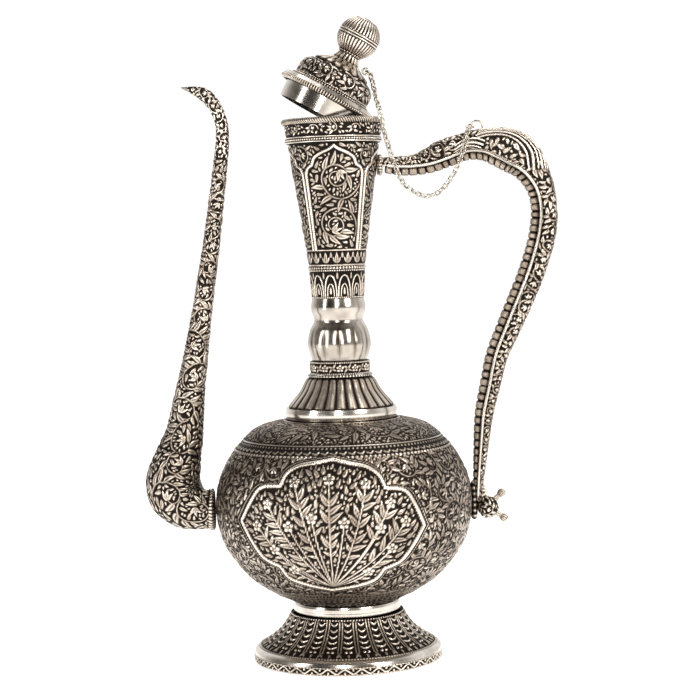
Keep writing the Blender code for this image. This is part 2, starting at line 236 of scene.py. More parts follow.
def polished_silver():
    """Smooth silver with smudges, hairline scratches and a little tarnish where the relief is low."""
    made = bpy.data.materials.new("polished_silver_worn")
    made.use_nodes = True
    tree = made.node_tree
    shader = tree.nodes["Principled BSDF"]
    shader.inputs["Metallic"].default_value = 1
    relief = tree.nodes.new("ShaderNodeAttribute")
    relief.attribute_name = "relief"
    smudge = noise(tree, 90, 4)
    tone = mixed(tree, "ADD", relief.outputs["Fac"], mixed(tree, "MULTIPLY_ADD", smudge, 0.7))
    tone.node.inputs[1].links[0].from_node.inputs[2].default_value = -0.35
    colour = ramp(tree, tone, [(0.0, (0.05, 0.038, 0.03)), (0.5, (0.3, 0.255, 0.21)), (0.88, (0.68, 0.63, 0.565))])
    tree.links.new(colour, shader.inputs["Base Color"])
    tree.links.new(ramp(tree, smudge, [(0.3, grey(0.13)), (0.75, grey(0.27))]), shader.inputs["Roughness"])
    scratches = mixed(tree, "ADD", noise(tree, 240, 3, (1, 1, 14)), noise(tree, 240, 3, (9, 1, 1)))
    tree.links.new(bump(tree, scratches, 0.14, 0.00006), shader.inputs["Normal"])
    return made


def wire_silver():
    """Drawn silver wire: bright, with faint tarnish."""
    made = bpy.data.materials.new("bright_silver_wire")
    made.use_nodes = True
    tree = made.node_tree
    shader = tree.nodes["Principled BSDF"]
    shader.inputs["Metallic"].default_value = 1
    tarnish = noise(tree, 400, 3)
    tree.links.new(ramp(tree, tarnish, [(0.3, (0.2, 0.165, 0.125)), (0.62, (0.74, 0.69, 0.6))]),
                   shader.inputs["Base Color"])
    tree.links.new(ramp(tree, tarnish, [(0.3, grey(0.3)), (0.7, grey(0.17))]), shader.inputs["Roughness"])
    tree.links.new(bump(tree, noise(tree, 1800, 2), 0.15, 0.00005), shader.inputs["Normal"])
    return made


build_camera()
CHASED, POLISHED, WIRE = chased_silver(), polished_silver(), wire_silver()


# ---------------------------------------------------------------- lines

def smooth_line(points, step):
    """Even points along a smooth curve through the given ones, with any further values carried along."""
    points = np.array(points, float)
    ends = np.vstack([2 * points[0] - points[1], points, 2 * points[-1] - points[-2]])
    t = np.linspace(0, 1, 24, endpoint=False)[:, None]
    runs = []
    for p, q, r, s in zip(ends, ends[1:], ends[2:], ends[3:]):
        runs.append(0.5 * (2 * q + (r - p) * t + (2 * p - 5 * q + 4 * r - s) * t ** 2
                           + (3 * q - p - 3 * r + s) * t ** 3))
    return even(np.vstack([*runs, points[-1:]]), step)


def even(points, step, spatial=2):
    """The same line with points about step apart, measured over its first few values."""
    points = np.array(points, float)
    along = np.concatenate([[0], np.cumsum(np.linalg.norm(np.diff(points[:, :spatial], axis=0), axis=1))])
    count = max(int(round(along[-1] / step)), 1)
    at = np.linspace(0, along[-1], count + 1)
    return np.column_stack([np.interp(at, along, column) for column in points.T])


# ---------------------------------------------------------------- height maps

class Relief:
    """A height map over a skin: u runs round it and joins itself, v runs along it. squeeze is how much
    narrower the skin really is at each v than the map, so that marks keep their shape."""

    def __init__(self, wide, tall, cell=0.25, squeeze=None):
        self.nu, self.nv = int(round(wide / cell)), int(math.ceil(tall / cell)) + 1
        self.wide, self.tall, self.cell = wide, tall, cell
        self.su, self.sv = wide / self.nu, tall / (self.nv - 1)
        rows = np.linspace(0, tall, self.nv)
        self.squeeze = np.ones(self.nv) if squeeze is None else np.interp(rows, *squeeze)
        self.height = np.zeros((self.nv, self.nu), np.float32)

    def at(self, v):
        return np.interp(v, np.linspace(0, self.tall, self.nv), self.squeeze)

    def put(self, u, v, reach, shape, keep=np.maximum):
        """Press one kind of mark at many places. shape turns local offsets into heights."""
        u, v = np.atleast_1d(np.asarray(u, float)), np.atleast_1d(np.asarray(v, float))
        if not len(u):
            return
        q = self.at(v)[:, None, None]
        side = int(math.ceil(reach / self.cell / q.min()))
        tall = int(math.ceil(reach / self.cell))
        across = np.round(u / self.su).astype(int)[:, None, None] + np.arange(-side, side + 1)[None, None, :]
        down = np.round(v / self.sv).astype(int)[:, None, None] + np.arange(-tall, tall + 1)[None, :, None]
        high = shape((across * self.su - u[:, None, None]) * q, down * self.sv - v[:, None, None])
        across, down = np.broadcast_arrays(across, down)
        fits = (down >= 0) & (down < self.nv) & (high > 0)
        keep.at(self.height, (down[fits], across[fits] % self.nu), high[fits])

    def dots(self, u, v, radius, high):
        self.put(u, v, radius, lambda x, y: high * np.sqrt(np.clip(1 - (x * x + y * y) / radius ** 2, 0, 1)))

    def line(self, points, width, high, step=0.3):
        """A round ridge along (u, v) points."""
        run = even(points, step)
        self.dots(run[:, 0], run[:, 1], width / 2, high)

    def leaves(self, u, v, angle, length, width, high, curl=0.25):
        """Teardrop leaves with a sunk vein, from their stalk end, bending to one side."""
        turn = np.broadcast_to(angle, np.shape(u)).astype(float)[:, None, None]
        long = np.broadcast_to(length, np.shape(u)).astype(float)[:, None, None]
        bend = np.broadcast_to(curl, np.shape(u)).astype(float)[:, None, None]

        def shape(x, y):
            s = (x * np.cos(turn) + y * np.sin(turn)) / long
            t = -x * np.sin(turn) + y * np.cos(turn) - bend * long * s * s
            half = width * np.sin(np.pi * np.clip(s, 0, 1) ** 0.62) ** 0.9 + 1e-6
            body = np.sqrt(np.clip(1 - (t / half) ** 2, 0, 1))
            vein = 1 - 0.4 * np.exp(-(t / (0.2 * width)) ** 2)
            return np.where((s > 0) & (s < 1), high * body * vein * (0.75 + 0.25 * s), 0)

        self.put(u, v, float(np.max(length)) * 1.15, shape)

    def flowers(self, u, v, radius, high, petals=5):
        """Open flowers with round petals about a raised eye."""
        for k in range(petals):
            a = 2 * math.pi * k / petals + 0.3
            q = self.at(v)
            self.dots(u + 0.62 * radius * math.cos(a) / q, v + 0.62 * radius * math.sin(a), 0.42 * radius, high)
        self.dots(u, v, 0.26 * radius, high * 1.1)

    def scroll(self, u, v, radius, hand, start, turns=0.82, width=1.0, high=0.75):
        """A coiled stem that thins towards its eye, with leaves springing from both sides and a flower inside."""
        q, scale = float(self.at(v)), radius / 6
        t = np.linspace(-0.2, 1, 90)
        inner = np.clip(t, 0, 1)
        angle = start + hand * t * turns * 2 * math.pi
        size = radius * (1.02 - 0.72 * inner ** 0.6 + 2.2 * np.clip(-t, 0, 1))
        pu, pv = u + size * np.cos(angle) / q, v + size * np.sin(angle)
        for part, share in ((slice(0, 40), 1.0), (slice(38, 66), 0.85), (slice(64, 90), 0.7)):
            self.line(np.column_stack([pu[part], pv[part]]), width * share, high * 0.7)
        eye = angle[-1] + hand * 1.9
        for turn in (-0.7, 0, 0.7):
            self.leaves(pu[-1:], pv[-1:], eye + turn, (3.9 - 0.6 * abs(turn)) * scale ** 0.8, 0.95 * scale ** 0.7,
                        high * 1.35, 0.35 * hand)
        for lean, reach, half in ((0.5, 5.6, 1.35), (-0.55, 5.4, 1.3), (0.5, 3.9, 1.0), (-0.5, 3.4, 0.85),
                                  (0.5, 2.7, 0.62), (-0.5, 2.4, 0.56)):
            picks = np.arange(3, 82, 5) + (3 if lean > 0 else 0)
            tangent = angle[picks] + hand * math.pi / 2
            self.grow(pu[picks], pv[picks], tangent + hand * lean, reach * scale ** 0.8, half * scale ** 0.6,
                      high * 1.25, 0.3, 0.34)

    def vines(self, low, high_v, radius, count=None, high=0.6, width=0.75):
        """Rows of scrolls that run round the skin, each handed against its neighbours, with leaves between."""
        rows = max(int(round((high_v - low) / (radius * 1.9))), 1)
        pitch = (high_v - low) / rows
        for row in range(rows):
            v = low + (row + 0.5) * pitch
            around = self.wide * float(self.at(v))
            n = count or max(int(round(around / (radius * 2.05))), 2)
            for k in range(n):
                u = (k + 0.5 * (row % 2)) * self.wide / n + RNG.uniform(-0.3, 0.3)
                hand = 1 if (k + row) % 2 else -1
                self.scroll(u, v + RNG.uniform(-0.3, 0.3), radius * 0.97, hand, RNG.uniform(0, 6.28),
                            high=high, width=width)

    def bare(self, u, v, angle, length, width, start=0.3):
        """Whether the ground under each leaf is still empty, past its stalk end."""
        u, v, angle = (np.asarray(x, float).reshape(-1, 1, 1) for x in (u, v, angle))
        s, t = np.meshgrid(np.linspace(start, 1.06, 6), (-1, -0.5, 0, 0.5, 1))
        half = width * np.sin(np.pi * np.clip(s, 0.02, 0.98) ** 0.62) ** 0.9 + 0.14
        q = self.at(v)
        du = (s * length * np.cos(angle) - t * half * np.sin(angle)) / q
        dv = s * length * np.sin(angle) + t * half * np.cos(angle)
        iu = np.round((u + du) / self.su).astype(int) % self.nu
        iv = np.round((v + dv) / self.sv).astype(int)
        within = (iv >= 0) & (iv < self.nv)
        taken = self.height[np.clip(iv, 0, self.nv - 1), iu] > 0.05
        return (within & ~taken).all((1, 2))

    def grow(self, u, v, angle, length, width, high, start=0.3, curl=0.2):
        """Put leaves one at a time, only where they fit; width is half the leaf's width."""
        for one in zip(u, v, angle):
            for share in (1.0, 0.72):
                if self.bare(*one, length * share, width * share, start)[0]:
                    self.leaves(one[:1], one[1:2], one[2], length * share, width * share, high,
                                curl if RNG.random() < 0.5 else -curl)
                    break

    def fill(self, length, width, high, low, top, near=None, flow=None, rounds=26):
        """Pack leaves into the bare ground, nearly parallel to their neighbours. near limits them to a place."""
        span = near[1] if near else self.wide
        count = int(3 * (top - low) * span / length ** 2) + 8
        for _ in range(rounds):
            v = RNG.uniform(low, top, count)
            u = (near[0] if near else 0) + RNG.uniform(-span / 2, span / 2, count)
            cell_u, cell_v = (np.floor(x / (1.15 * length) + RNG.random()).astype(int)
                              for x in (u * self.at(v), v))
            spaced = (cell_u % 2 == 0) & (cell_v % 2 == 0)
            way = flow(u, v) if flow else 2.4 * np.sin(u * self.at(v) / 5.1 + 1.7 * np.sin(v / 7.3)) + v / 6.1
            way = way + RNG.uniform(-0.5, 0.5, count)
            q = self.at(v)
            u, v = u - 0.5 * length * np.cos(way) / q, v - 0.5 * length * np.sin(way)
            free = spaced & self.bare(u, v, way, length, width, 0.0)
            _, first = np.unique(np.stack([cell_u, cell_v])[:, free], axis=1, return_index=True)
            first = np.flatnonzero(free)[first]
            curl = np.where(RNG.random(first.size) < 0.5, 0.18, -0.18)
            self.leaves(u[first], v[first], way[first], length, width, high, curl)

    def blurred(self, reach):
        """The map averaged over a square of this half width."""
        k = max(int(round(reach / self.cell)), 1)
        padded = np.pad(self.height, ((k, k), (0, 0)), mode="edge")
        padded = np.pad(padded, ((0, 0), (k, k)), mode="wrap")
        sums = np.cumsum(np.cumsum(np.pad(padded, ((1, 0), (1, 0))), 0), 1)
        w = 2 * k + 1
        return (sums[w:, w:] - sums[:-w, w:] - sums[w:, :-w] + sums[:-w, :-w]) / (w * w)

    def tone(self, full):
        """How bright each place has worn: high places, and places that stand above what is round them."""
        return np.clip(0.05 + 0.62 * self.height / full + 1.0 * (self.height - self.blurred(1.1)) / full, 0, 1)

    def read(self, values, u, v):
        """Values of the map at places, between its cells."""
        x, y = (u / self.su) % self.nu, np.clip(v / self.sv, 0, self.nv - 1.001)
        i, j = np.floor(x).astype(int), np.floor(y).astype(int)
        fx, fy = x - i, y - j
        i1 = (i + 1) % self.nu
        i = i % self.nu
        return ((values[j, i] * (1 - fx) + values[j, i1] * fx) * (1 - fy)
                + (values[j + 1, i] * (1 - fx) + values[j + 1, i1] * fx) * fy)


# ---------------------------------------------------------------- skins

def finish_piece(piece, material, body, nodes):
    piece.data.materials.append(material)
    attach(piece, body)
    if nodes:
        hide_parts(*nodes)
    return piece


def mesh_of(name, points, faces_by_size, tones, rims=None):
    """A mesh from arrays: faces_by_size lists arrays of faces, each with its own number of corners. rims gives
    each point the number of the hard-edged ring that it lies on, or 0."""
    data = bpy.data.meshes.new(name)
    corners = np.concatenate([faces.ravel() for faces in faces_by_size])
    sizes = np.concatenate([np.full(len(faces), faces.shape[1]) for faces in faces_by_size])
    data.vertices.add(len(points))
    data.vertices.foreach_set("co", (points * MM).astype(np.float32).ravel())
    data.loops.add(len(corners))
    data.loops.foreach_set("vertex_index", corners.astype(np.int32))
    data.polygons.add(len(sizes))
    data.polygons.foreach_set("loop_start", np.concatenate([[0], np.cumsum(sizes)[:-1]]).astype(np.int32))
    data.update(calc_edges=True)
    data.validate()
    data.attributes.new("relief", "FLOAT", "POINT").data.foreach_set("value", tones.astype(np.float32).ravel())
    if rims is not None:
        ends = np.zeros(len(data.edges) * 2, np.int32)
        data.edges.foreach_get("vertices", ends)
        ring = rims[ends.reshape(-1, 2)]
        sharp = (ring[:, 0] == ring[:, 1]) & (ring[:, 0] > 0)
        data.attributes.new("sharp_edge", "BOOLEAN", "EDGE").data.foreach_set("value", sharp)
    data.shade_smooth()
    piece = bpy.data.objects.new(name, data)
    bpy.context.scene.collection.objects.link(piece)
    return piece


def grid_normals(grid):
    """Outward normals of a grid of rings."""
    normals = np.cross(np.roll(grid, -1, 1) - np.roll(grid, 1, 1), np.gradient(grid, axis=0))
    normals /= np.linalg.norm(normals, axis=2, keepdims=True) + 1e-12
    outward = ((grid - grid.mean(1, keepdims=True)) * normals).sum()
    return normals * (1 if outward > 0 else -1)


def skin(name, grid, heights, tones, wall, material, body, nodes, place=None, inner_tone=0.3):
    """A closed piece from a grid of rings: pushed out by its heights, with an inner wall, or capped if wall is 0."""
    rows, steps, _ = grid.shape
    normals = grid_normals(grid)
    points = grid + normals * heights[..., None]
    values = np.broadcast_to(tones, (rows, steps)).astype(float)
    if wall:
        picks = np.unique(np.linspace(rows - 1, 0, min(rows, 14)).astype(int))[::-1]
        points = np.concatenate([points, (grid - normals * wall)[picks]])
        values = np.concatenate([values, np.full((len(picks), steps), inner_tone)])
    total = len(points)
    index = np.arange(total * steps).reshape(total, steps)
    following = np.roll(index, -1, 0) if wall else index[1:]
    here = index if wall else index[:-1]
    quads = np.stack([here, np.roll(here, -1, 1), np.roll(following, -1, 1), following], -1).reshape(-1, 4)
    faces = [quads]
    if not wall:
        faces += [index[0][::-1][None], index[-1][None]]
    edge = np.cross(grid[0, 1] - grid[0, 0], grid[1, 0] - grid[0, 0])
    if np.dot(edge, normals[0, 0]) < 0:
        faces = [f[:, ::-1] for f in faces]
    flat = points.reshape(-1, 3)
    rims = np.zeros((total, steps), int)
    rims[0], rims[rows - 1], rims[-1] = 1, 2, 3
    if wall:
        rims[rows] = 4
    if place is not None:
        flat = flat @ np.array(place.to_3x3()).T + np.array(place.translation)
    return finish_piece(mesh_of(name, flat, faces, values, rims.ravel()), material, body, nodes)


def turned_grid(line, steps):
    """Rings about Z through (radius, height) points; the first column faces the front."""
    angles = FRONT + np.linspace(0, 2 * math.pi, steps, endpoint=False)
    r, z = line[:, 0][:, None], line[:, 1][:, None]
    return np.stack([r * np.cos(angles), r * np.sin(angles), z + 0 * angles], -1)


def along_of(line):
    return np.concatenate([[0], np.cumsum(np.linalg.norm(np.diff(line[:, :2], axis=0), axis=1))])


def turned(name, line, steps, wall, material, body="pot", nodes=None, pattern=None, place=None, tone=0.85,
           inner_tone=0.3):
    """A turned piece. pattern(angle, along) gives heights and tones; without one it is plain."""
    grid = turned_grid(line, steps)
    angle, along = np.meshgrid(np.linspace(0, 2 * math.pi, steps, endpoint=False), along_of(line))
    heights, tones = pattern(angle, along) if pattern else (np.zeros_like(angle), np.full_like(angle, tone))
    return skin(name, grid, heights, tones, wall, material, body, nodes or [name], place, inner_tone)


def relief_pattern(relief, full, sink):
    """Read a height map as a turned piece's pattern."""
    shown = relief.blurred(relief.cell)
    tones = relief.tone(full)

    def pattern(angle, along):
        u = angle / (2 * math.pi) * relief.wide
        return relief.read(shown, u, along) - sink, relief.read(tones, u, along)

    return pattern


def ripple(count, depth, power=1.0, low=0.1, high=0.95, twist=0.0):
    """Convex flutes, beads or rope strands: count round the piece, leaning by twist radians per millimetre."""

    def pattern(angle, along):
        wave = np.abs(np.cos((angle * count + along * twist * count) / 2)) ** power
        return depth * (wave - 0.6), low + (high - low) * wave

    return pattern


def flutes(count, depth):
    """Tongues with narrow dark furrows between them, rounded off at the wide end."""

    def pattern(angle, along):
        across = (angle * count / (2 * math.pi) + 0.5) % 1 - 0.5
        share = along / along.max()
        tongue = np.sqrt(np.clip(1 - (across / 0.46) ** 2, 0, 1))
        tongue *= np.clip((1 - share) / 0.1, 0, 1) ** 0.5 * np.clip(share / 0.05, 0, 1)
        centre = np.exp(-(across / 0.07) ** 2) * 0.25
        return depth * (tongue - 0.5), np.clip(0.04 + 0.85 * tongue ** 1.6 - centre, 0, 1)

    return pattern


# ---------------------------------------------------------------- the body

BODY_LINE = [(27.7, 31.2), (39.7, 37.2), (50.9, 45), (58.5, 53.9), (64.2, 62.9), (67.3, 73.8), (68, 85),
             (66.1, 96.7), (61, 107.7), (53.1, 118), (44.2, 124.7), (29.6, 128.3)]
BODY_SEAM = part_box("body_lower")[1][2] / MM + 0.15
BODY_WIDEST = 68.0
# The front panel's right half: four bowed sides between the points and the cusps.
PANEL_SIDES = [
    [(0, 34.5), (8, 32.8), (17, 31), (23.5, 27), (27, 20.5)],
    [(27, 20.5), (36.8, 19), (42.3, 11.8), (47.4, 0.5)],
    [(47.4, 0.5), (42.5, -8.5), (37, -16.5), (32.5, -19.8), (27, -22)],
    [(27, -22), (22, -28.5), (13, -31.8), (0, -34.5)],
]
PANEL_CENTRE = (-6.2, 78.6)
PANEL_TILT = -0.035
# Where each stem of the bouquet ends, and how far it bows to the left.
BOUQUET = [
    (-2, 25, 1), (-20, 23, 5), (17, 23, -5), (-34, 11, 6), (30, 13, -5), (-39.5, -1, 7), (38, 3, -6),
    (-11, 5, 2), (6, 3, -1), (-30, -13, 5), (31, -11, -5), (-19.5, -24, 3), (19, -24, -3), (25, 0, -3),
    (-23, 0, 3),
]
BOUQUET_FOOT = (0.6, -31.5)


def panel_outline():
    """The closed outline of a panel, with its four points and four cusps kept sharp."""
    right = np.vstack([smooth_line(side, 0.5)[:-1] for side in PANEL_SIDES])
    left = (right * [-1, 1])[::-1]
    return np.vstack([right, [(0, -34.5)], left[:-1]])


def inside(outline, x, y):
    """Whether points are inside a closed outline."""
    found = np.zeros(np.shape(x), bool)
    for (x0, y0), (x1, y1) in zip(outline, np.roll(outline, -1, 0)):
        if y0 != y1:
            found ^= ((y0 > y) != (y1 > y)) & (x < (x1 - x0) * (y - y0) / (y1 - y0) + x0)
    return found


def body_relief():
    """The whole body's chasing on one map, from the foot's collar up to the shoulder ring."""
    line = even(smooth_line(BODY_LINE, 0.3), 0.5)
    along = along_of(line)
    relief = Relief(2 * math.pi * BODY_WIDEST, along[-1], squeeze=(along, line[:, 0] / BODY_WIDEST))

    def level(z):
        return float(np.interp(z, line[:, 1], along))

    low, shoulder = level(40.5), level(112.6)
    panels = [draw_panel(relief, half * relief.wide / 2, line, along) for half in (0, 1)]
    relief.vines(low + 0.5, shoulder - 0.5, 7.0, high=0.75, width=1.1)
    relief.fill(3.9, 0.95, 0.85, low, shoulder)
    relief.fill(2.6, 0.7, 0.75, low, shoulder)
    relief.fill(1.7, 0.48, 0.6, low, shoulder, rounds=16)
    rows = np.linspace(0, relief.tall, relief.nv)
    relief.height[(rows < low) | (rows > shoulder)] = 0
    draw_body_bands(relief, low, shoulder, level(118.4), along[-1])
    for clear, draw in panels:
        relief.height[clear] = 0
        draw()
    return line, relief


def draw_body_bands(relief, low, shoulder, line_level, top):
    """Bead, leaf and scroll bands round the bottom and the shoulder."""
    count = 150
    about = np.linspace(0, relief.wide, count + 1)[:-1]
    for v, width in ((low - 0.2, 0.9), (low - 3.4, 0.8), (line_level, 1.0), (top - 1.0, 0.9)):
        relief.line([(0, v), (relief.wide, v)], width, 0.7, 0.4)
    relief.dots(about, np.full(count, low - 1.5), 0.8, 0.8)
    for v in (low - 7.0, low - 9.8):
        relief.line([(0, v), (relief.wide, v)], 0.7, 0.7, 0.4)
    relief.dots(about[::2], np.full(75, low - 8.4), 0.95, 0.9)
    relief.fill(3, 0.75, 0.7, 0.2, low - 10.2)
    relief.leaves(about[::2], np.full(75, low - 6.3), 0.95, 3.4, 0.8, 0.8, 0.3)
    relief.leaves(about[::2], np.full(75, low - 6.3), 2.1, 3.4, 0.8, 0.8, -0.3)
    relief.dots(about, np.full(count, shoulder + 0.7), 0.95, 0.95)
    for lean in (0.65, 2.45):
        relief.leaves(about[::2] + lean * 0.4, np.full(75, shoulder + 2.1), lean, 3.2, 0.65, 0.8, 0.3)
    relief.dots(about + 1.1, np.full(count, line_level - 1.5), 0.6, 0.65)
    relief.vines(line_level + 0.9, top - 1.8, (top - 1.8 - line_level) / 2.3, width=0.8)
    relief.fill(2.6, 0.7, 0.7, line_level + 1, top - 2)
    relief.fill(1.7, 0.5, 0.6, line_level + 1, top - 2)


def draw_panel(relief, u0, line, along):
    """A lobed panel: its cleared ground as a mask, and a call that draws its border and its bouquet."""
    rows = np.linspace(0, along[-1], relief.nv)
    radius, height = np.interp(rows, along, line[:, 0]), np.interp(rows, along, line[:, 1])
    u = (np.arange(relief.nu) * relief.su - u0 + relief.wide / 2) % relief.wide - relief.wide / 2
    near = np.abs(u) < BODY_WIDEST * 1.3
    tilt = np.array([[math.cos(PANEL_TILT), math.sin(PANEL_TILT)], [-math.sin(PANEL_TILT), math.cos(PANEL_TILT)]])
    outline = panel_outline()
    x = radius[:, None] * np.sin(u[None, near] / BODY_WIDEST) - PANEL_CENTRE[0]
    clear = np.zeros(relief.height.shape, bool)
    clear[:, near] = inside((outline * 1.05) @ tilt, x, height[:, None] + 0 * x - PANEL_CENTRE[1])

    def laid(points):
        """From the flat panel on to the map."""
        points = np.asarray(points, float) @ tilt + PANEL_CENTRE
        r = np.interp(points[:, 1], line[:, 1], line[:, 0])
        return np.column_stack([u0 + BODY_WIDEST * np.arcsin(np.clip(points[:, 0] / r, -0.99, 0.99)),
                                np.interp(points[:, 1], line[:, 1], along)])

    def draw():
        relief.line(laid(outline * 1.03), 0.7, 0.7)
        ring = laid(even(outline * 0.981, 1.5))
        relief.dots(ring[:, 0], ring[:, 1], 1.3, 1.25)
        stems = [draw_stem(relief, laid, *one) for one in BOUQUET]
        for length, width, first, lean in ((9.0, 1.75, 15, 0.75), (9.0, 1.75, 31, 0.5), (7.2, 1.5, 12, 0.85),
                                           (5.4, 1.25, 9, 0.9), (3.8, 1.0, 6, 0.95)):
            for stem, heading in stems:
                picks = np.arange(first, 37, 3)
                for hand in (-lean, lean):
                    relief.grow(stem[picks, 0], stem[picks, 1], heading[picks] + hand, length, width, 1.0, 0.34, 0.16)
        foot = laid([BOUQUET_FOOT])[0]
        low, top = foot[1] - 1, laid([(0, 31)])[0, 1]
        for length, width, rounds in ((5.6, 1.3, 30), (3.6, 1.0, 24), (2.2, 0.66, 16)):
            relief.fill(length, width, 0.9, low, top, (u0 - 6, 104),
                        lambda u, v: np.arctan2(v - foot[1] + 6, u - foot[0]), rounds)

    return clear, draw


def draw_stem(relief, laid, x1, z1, bow):
    """One stem of the bouquet with a flower at its tip; gives its line and its heading."""
    foot, tip = np.array(BOUQUET_FOOT), np.array([x1, z1], float) * 0.97
    side = np.array([-(tip - foot)[1], (tip - foot)[0]]) / np.linalg.norm(tip - foot)
    middle = (foot + tip) / 2 + side * bow
    t = np.linspace(0, 1, 40)[:, None]
    stem = laid((1 - t) ** 2 * foot + 2 * t * (1 - t) * middle + t ** 2 * tip)
    relief.line(stem, 1.0, 0.9)
    relief.flowers(stem[-1:, 0], stem[-1:, 1], 3.2, 1.15)
    step = np.gradient(stem, axis=0)
    return stem, np.arctan2(step[:, 1], step[:, 0])


def build_body():
    line, relief = body_relief()
    pattern = relief_pattern(relief, 0.8, 0.5)
    split = int(np.argmin(np.abs(line[:, 1] - BODY_SEAM)))
    along = along_of(line)
    for name, rows in (("body_lower", slice(0, split + 1)), ("body_upper", slice(split, None))):
        fine = even(np.column_stack([line[rows], along[rows]]), 0.6)
        angle, at = np.meshgrid(np.linspace(0, 2 * math.pi, 600, endpoint=False), fine[:, 2])
        skin(name + "_chased", turned_grid(fine, 600), *pattern(angle, at), 1.4, CHASED, "pot", [name])
    disc = [(27.4, 32.6), (27.4, 31.6), (0.3, 31.6), (0.3, 32.6)]
    turned("body_floor", np.array(disc, float), 96, 0, CHASED, nodes=["body_lower"], tone=0.25)


# ---------------------------------------------------------------- the foot

def lines_of(points, step=0.6):
    """A profile of straight runs, kept sharp at its corners."""
    runs = [even([a, b], step) for a, b in zip(points, points[1:])]
    return np.vstack([runs[0], *[run[1:] for run in runs[1:]]]).astype(float)


def map_pattern(line, full, sink, draw, cell=0.22):
    """A turned piece's pattern from marks that draw(relief) puts on its map."""
    along = along_of(line)
    widest = line[:, 0].max()
    relief = Relief(2 * math.pi * widest, along[-1], cell, (along, np.maximum(line[:, 0], 0.3) / widest))
    draw(relief)
    return relief_pattern(relief, full, sink)


def around(relief, count, shift=0.0):
    return (np.arange(count) + shift) * relief.wide / count


def draw_flare(relief):
    """Twenty-eight panels between double beaded lines, each filled with crescents that end in a leaf."""
    count, tall = 28, relief.tall
    levels = np.arange(1.6, tall - 5.6, 0.8)
    for side in (-0.75, 0.75):
        for v in levels:
            u = around(relief, count, 0.5) + side / relief.at(v)
            relief.dots(u, np.full(count, v), 0.5, 0.7)
    for rank in range(5):
        v = 3.4 + rank * (tall - 12) / 4
        half = relief.wide * float(relief.at(v)) / count / 2 - 1.9
        for t in np.linspace(-1, 1, 15):
            u = around(relief, count) + t * half / relief.at(v)
            relief.dots(u, np.full(count, v - 1.3 * t * t), 0.62 - 0.22 * t * t, 1.0)
    for side in (-1.15, 1.15):
        relief.dots(around(relief, count) + side / relief.at(tall - 6), np.full(count, tall - 6), 0.95, 0.9)
    for lean in (-0.42, 0.42):
        relief.leaves(around(relief, count, 0.5) + lean * 1.2, np.full(count, tall - 5.6), math.pi / 2 + lean, 4.4, 0.8,
                      0.95, 0)
    relief.leaves(around(relief, count), np.full(count, tall - 4.6), math.pi / 2, 3.4, 0.75, 0.85, 0)
    for v, n, size in ((0.6, 120, 0.55), (tall - 0.8, 190, 0.7)):
        relief.dots(around(relief, n), np.full(n, v), size, 0.8)


def draw_waves(relief):
    """A running S-wave with a comma leaf in every bend."""
    count, middle = 36, relief.tall * 0.5
    u = np.linspace(0, relief.wide, 2400)
    swing = 1.1 * np.sin(2 * math.pi * count * u / relief.wide)
    relief.line(np.column_stack([u, middle + swing]), 1.1, 0.9, 0.25)
    for half in (0.25, 0.75):
        at = around(relief, count, half)
        relief.dots(at, np.full(count, middle + (0.75 if half > 0.5 else -0.75)), 0.75, 0.9)
    for v in (0.35, relief.tall - 0.35):
        relief.line([(0, v), (relief.wide, v)], 0.6, 0.75)
        relief.dots(around(relief, 170), np.full(170, v), 0.5, 0.9)


def build_foot():
    collar = lines_of([(28.3, 25.9), (28.6, 27), (28.4, 28.4), (28.7, 29.6), (28.2, 31)])
    turned("collar_polished", collar, 200, 3, POLISHED, nodes=["foot_collar"])
    flare = even(smooth_line([(29.8, 25.4), (32.4, 20.4), (36.6, 15.2), (42, 11), (47.6, 7.7)], 0.3), 0.42)
    turned("foot_flare_chased", flare, 760, 1.4, CHASED, nodes=["foot_shell"],
           pattern=map_pattern(flare, 0.85, 0.45, draw_flare))
    lip = even(smooth_line([(47.5, 7.7), (48.8, 7.0), (49.8, 5.9), (50.3, 4.3)], 0.3), 0.4)
    turned("foot_lip_polished", lip, 240, 1.6, POLISHED, nodes=["foot_rim_band", "foot_shell"], tone=0.8)
    rim = even([(50.2, 4.2), (49.9, 0.1)], 0.3)
    turned("foot_rim_chased", rim, 900, 3, CHASED, nodes=["foot_rim_band"],
           pattern=map_pattern(rim, 0.8, 0.5, draw_waves, 0.18))
    plate = [(46.0, 1.5), (46.0, 0.2), (0.3, 0.2), (0.3, 1.5)]
    turned("foot_plate_plain", np.array(plate, float), 120, 0, CHASED, nodes=["foot_base_plate"], tone=0.45)


# ---------------------------------------------------------------- the neck and the mouth

def draw_foliate(relief):
    """Rosettes with a leaf to either side."""
    count, middle = 12, relief.tall / 2
    relief.flowers(around(relief, count), np.full(count, middle), 2.2, 0.9)
    for lean in (0.7, 2.44, -0.7, -2.44):
        relief.leaves(around(relief, count, 0.5), np.full(count, middle), lean, 3.2, 0.75, 0.85, 0.25)
    for v in (0.4, relief.tall - 0.4):
        relief.dots(around(relief, 84), np.full(84, v), 0.55, 0.8)


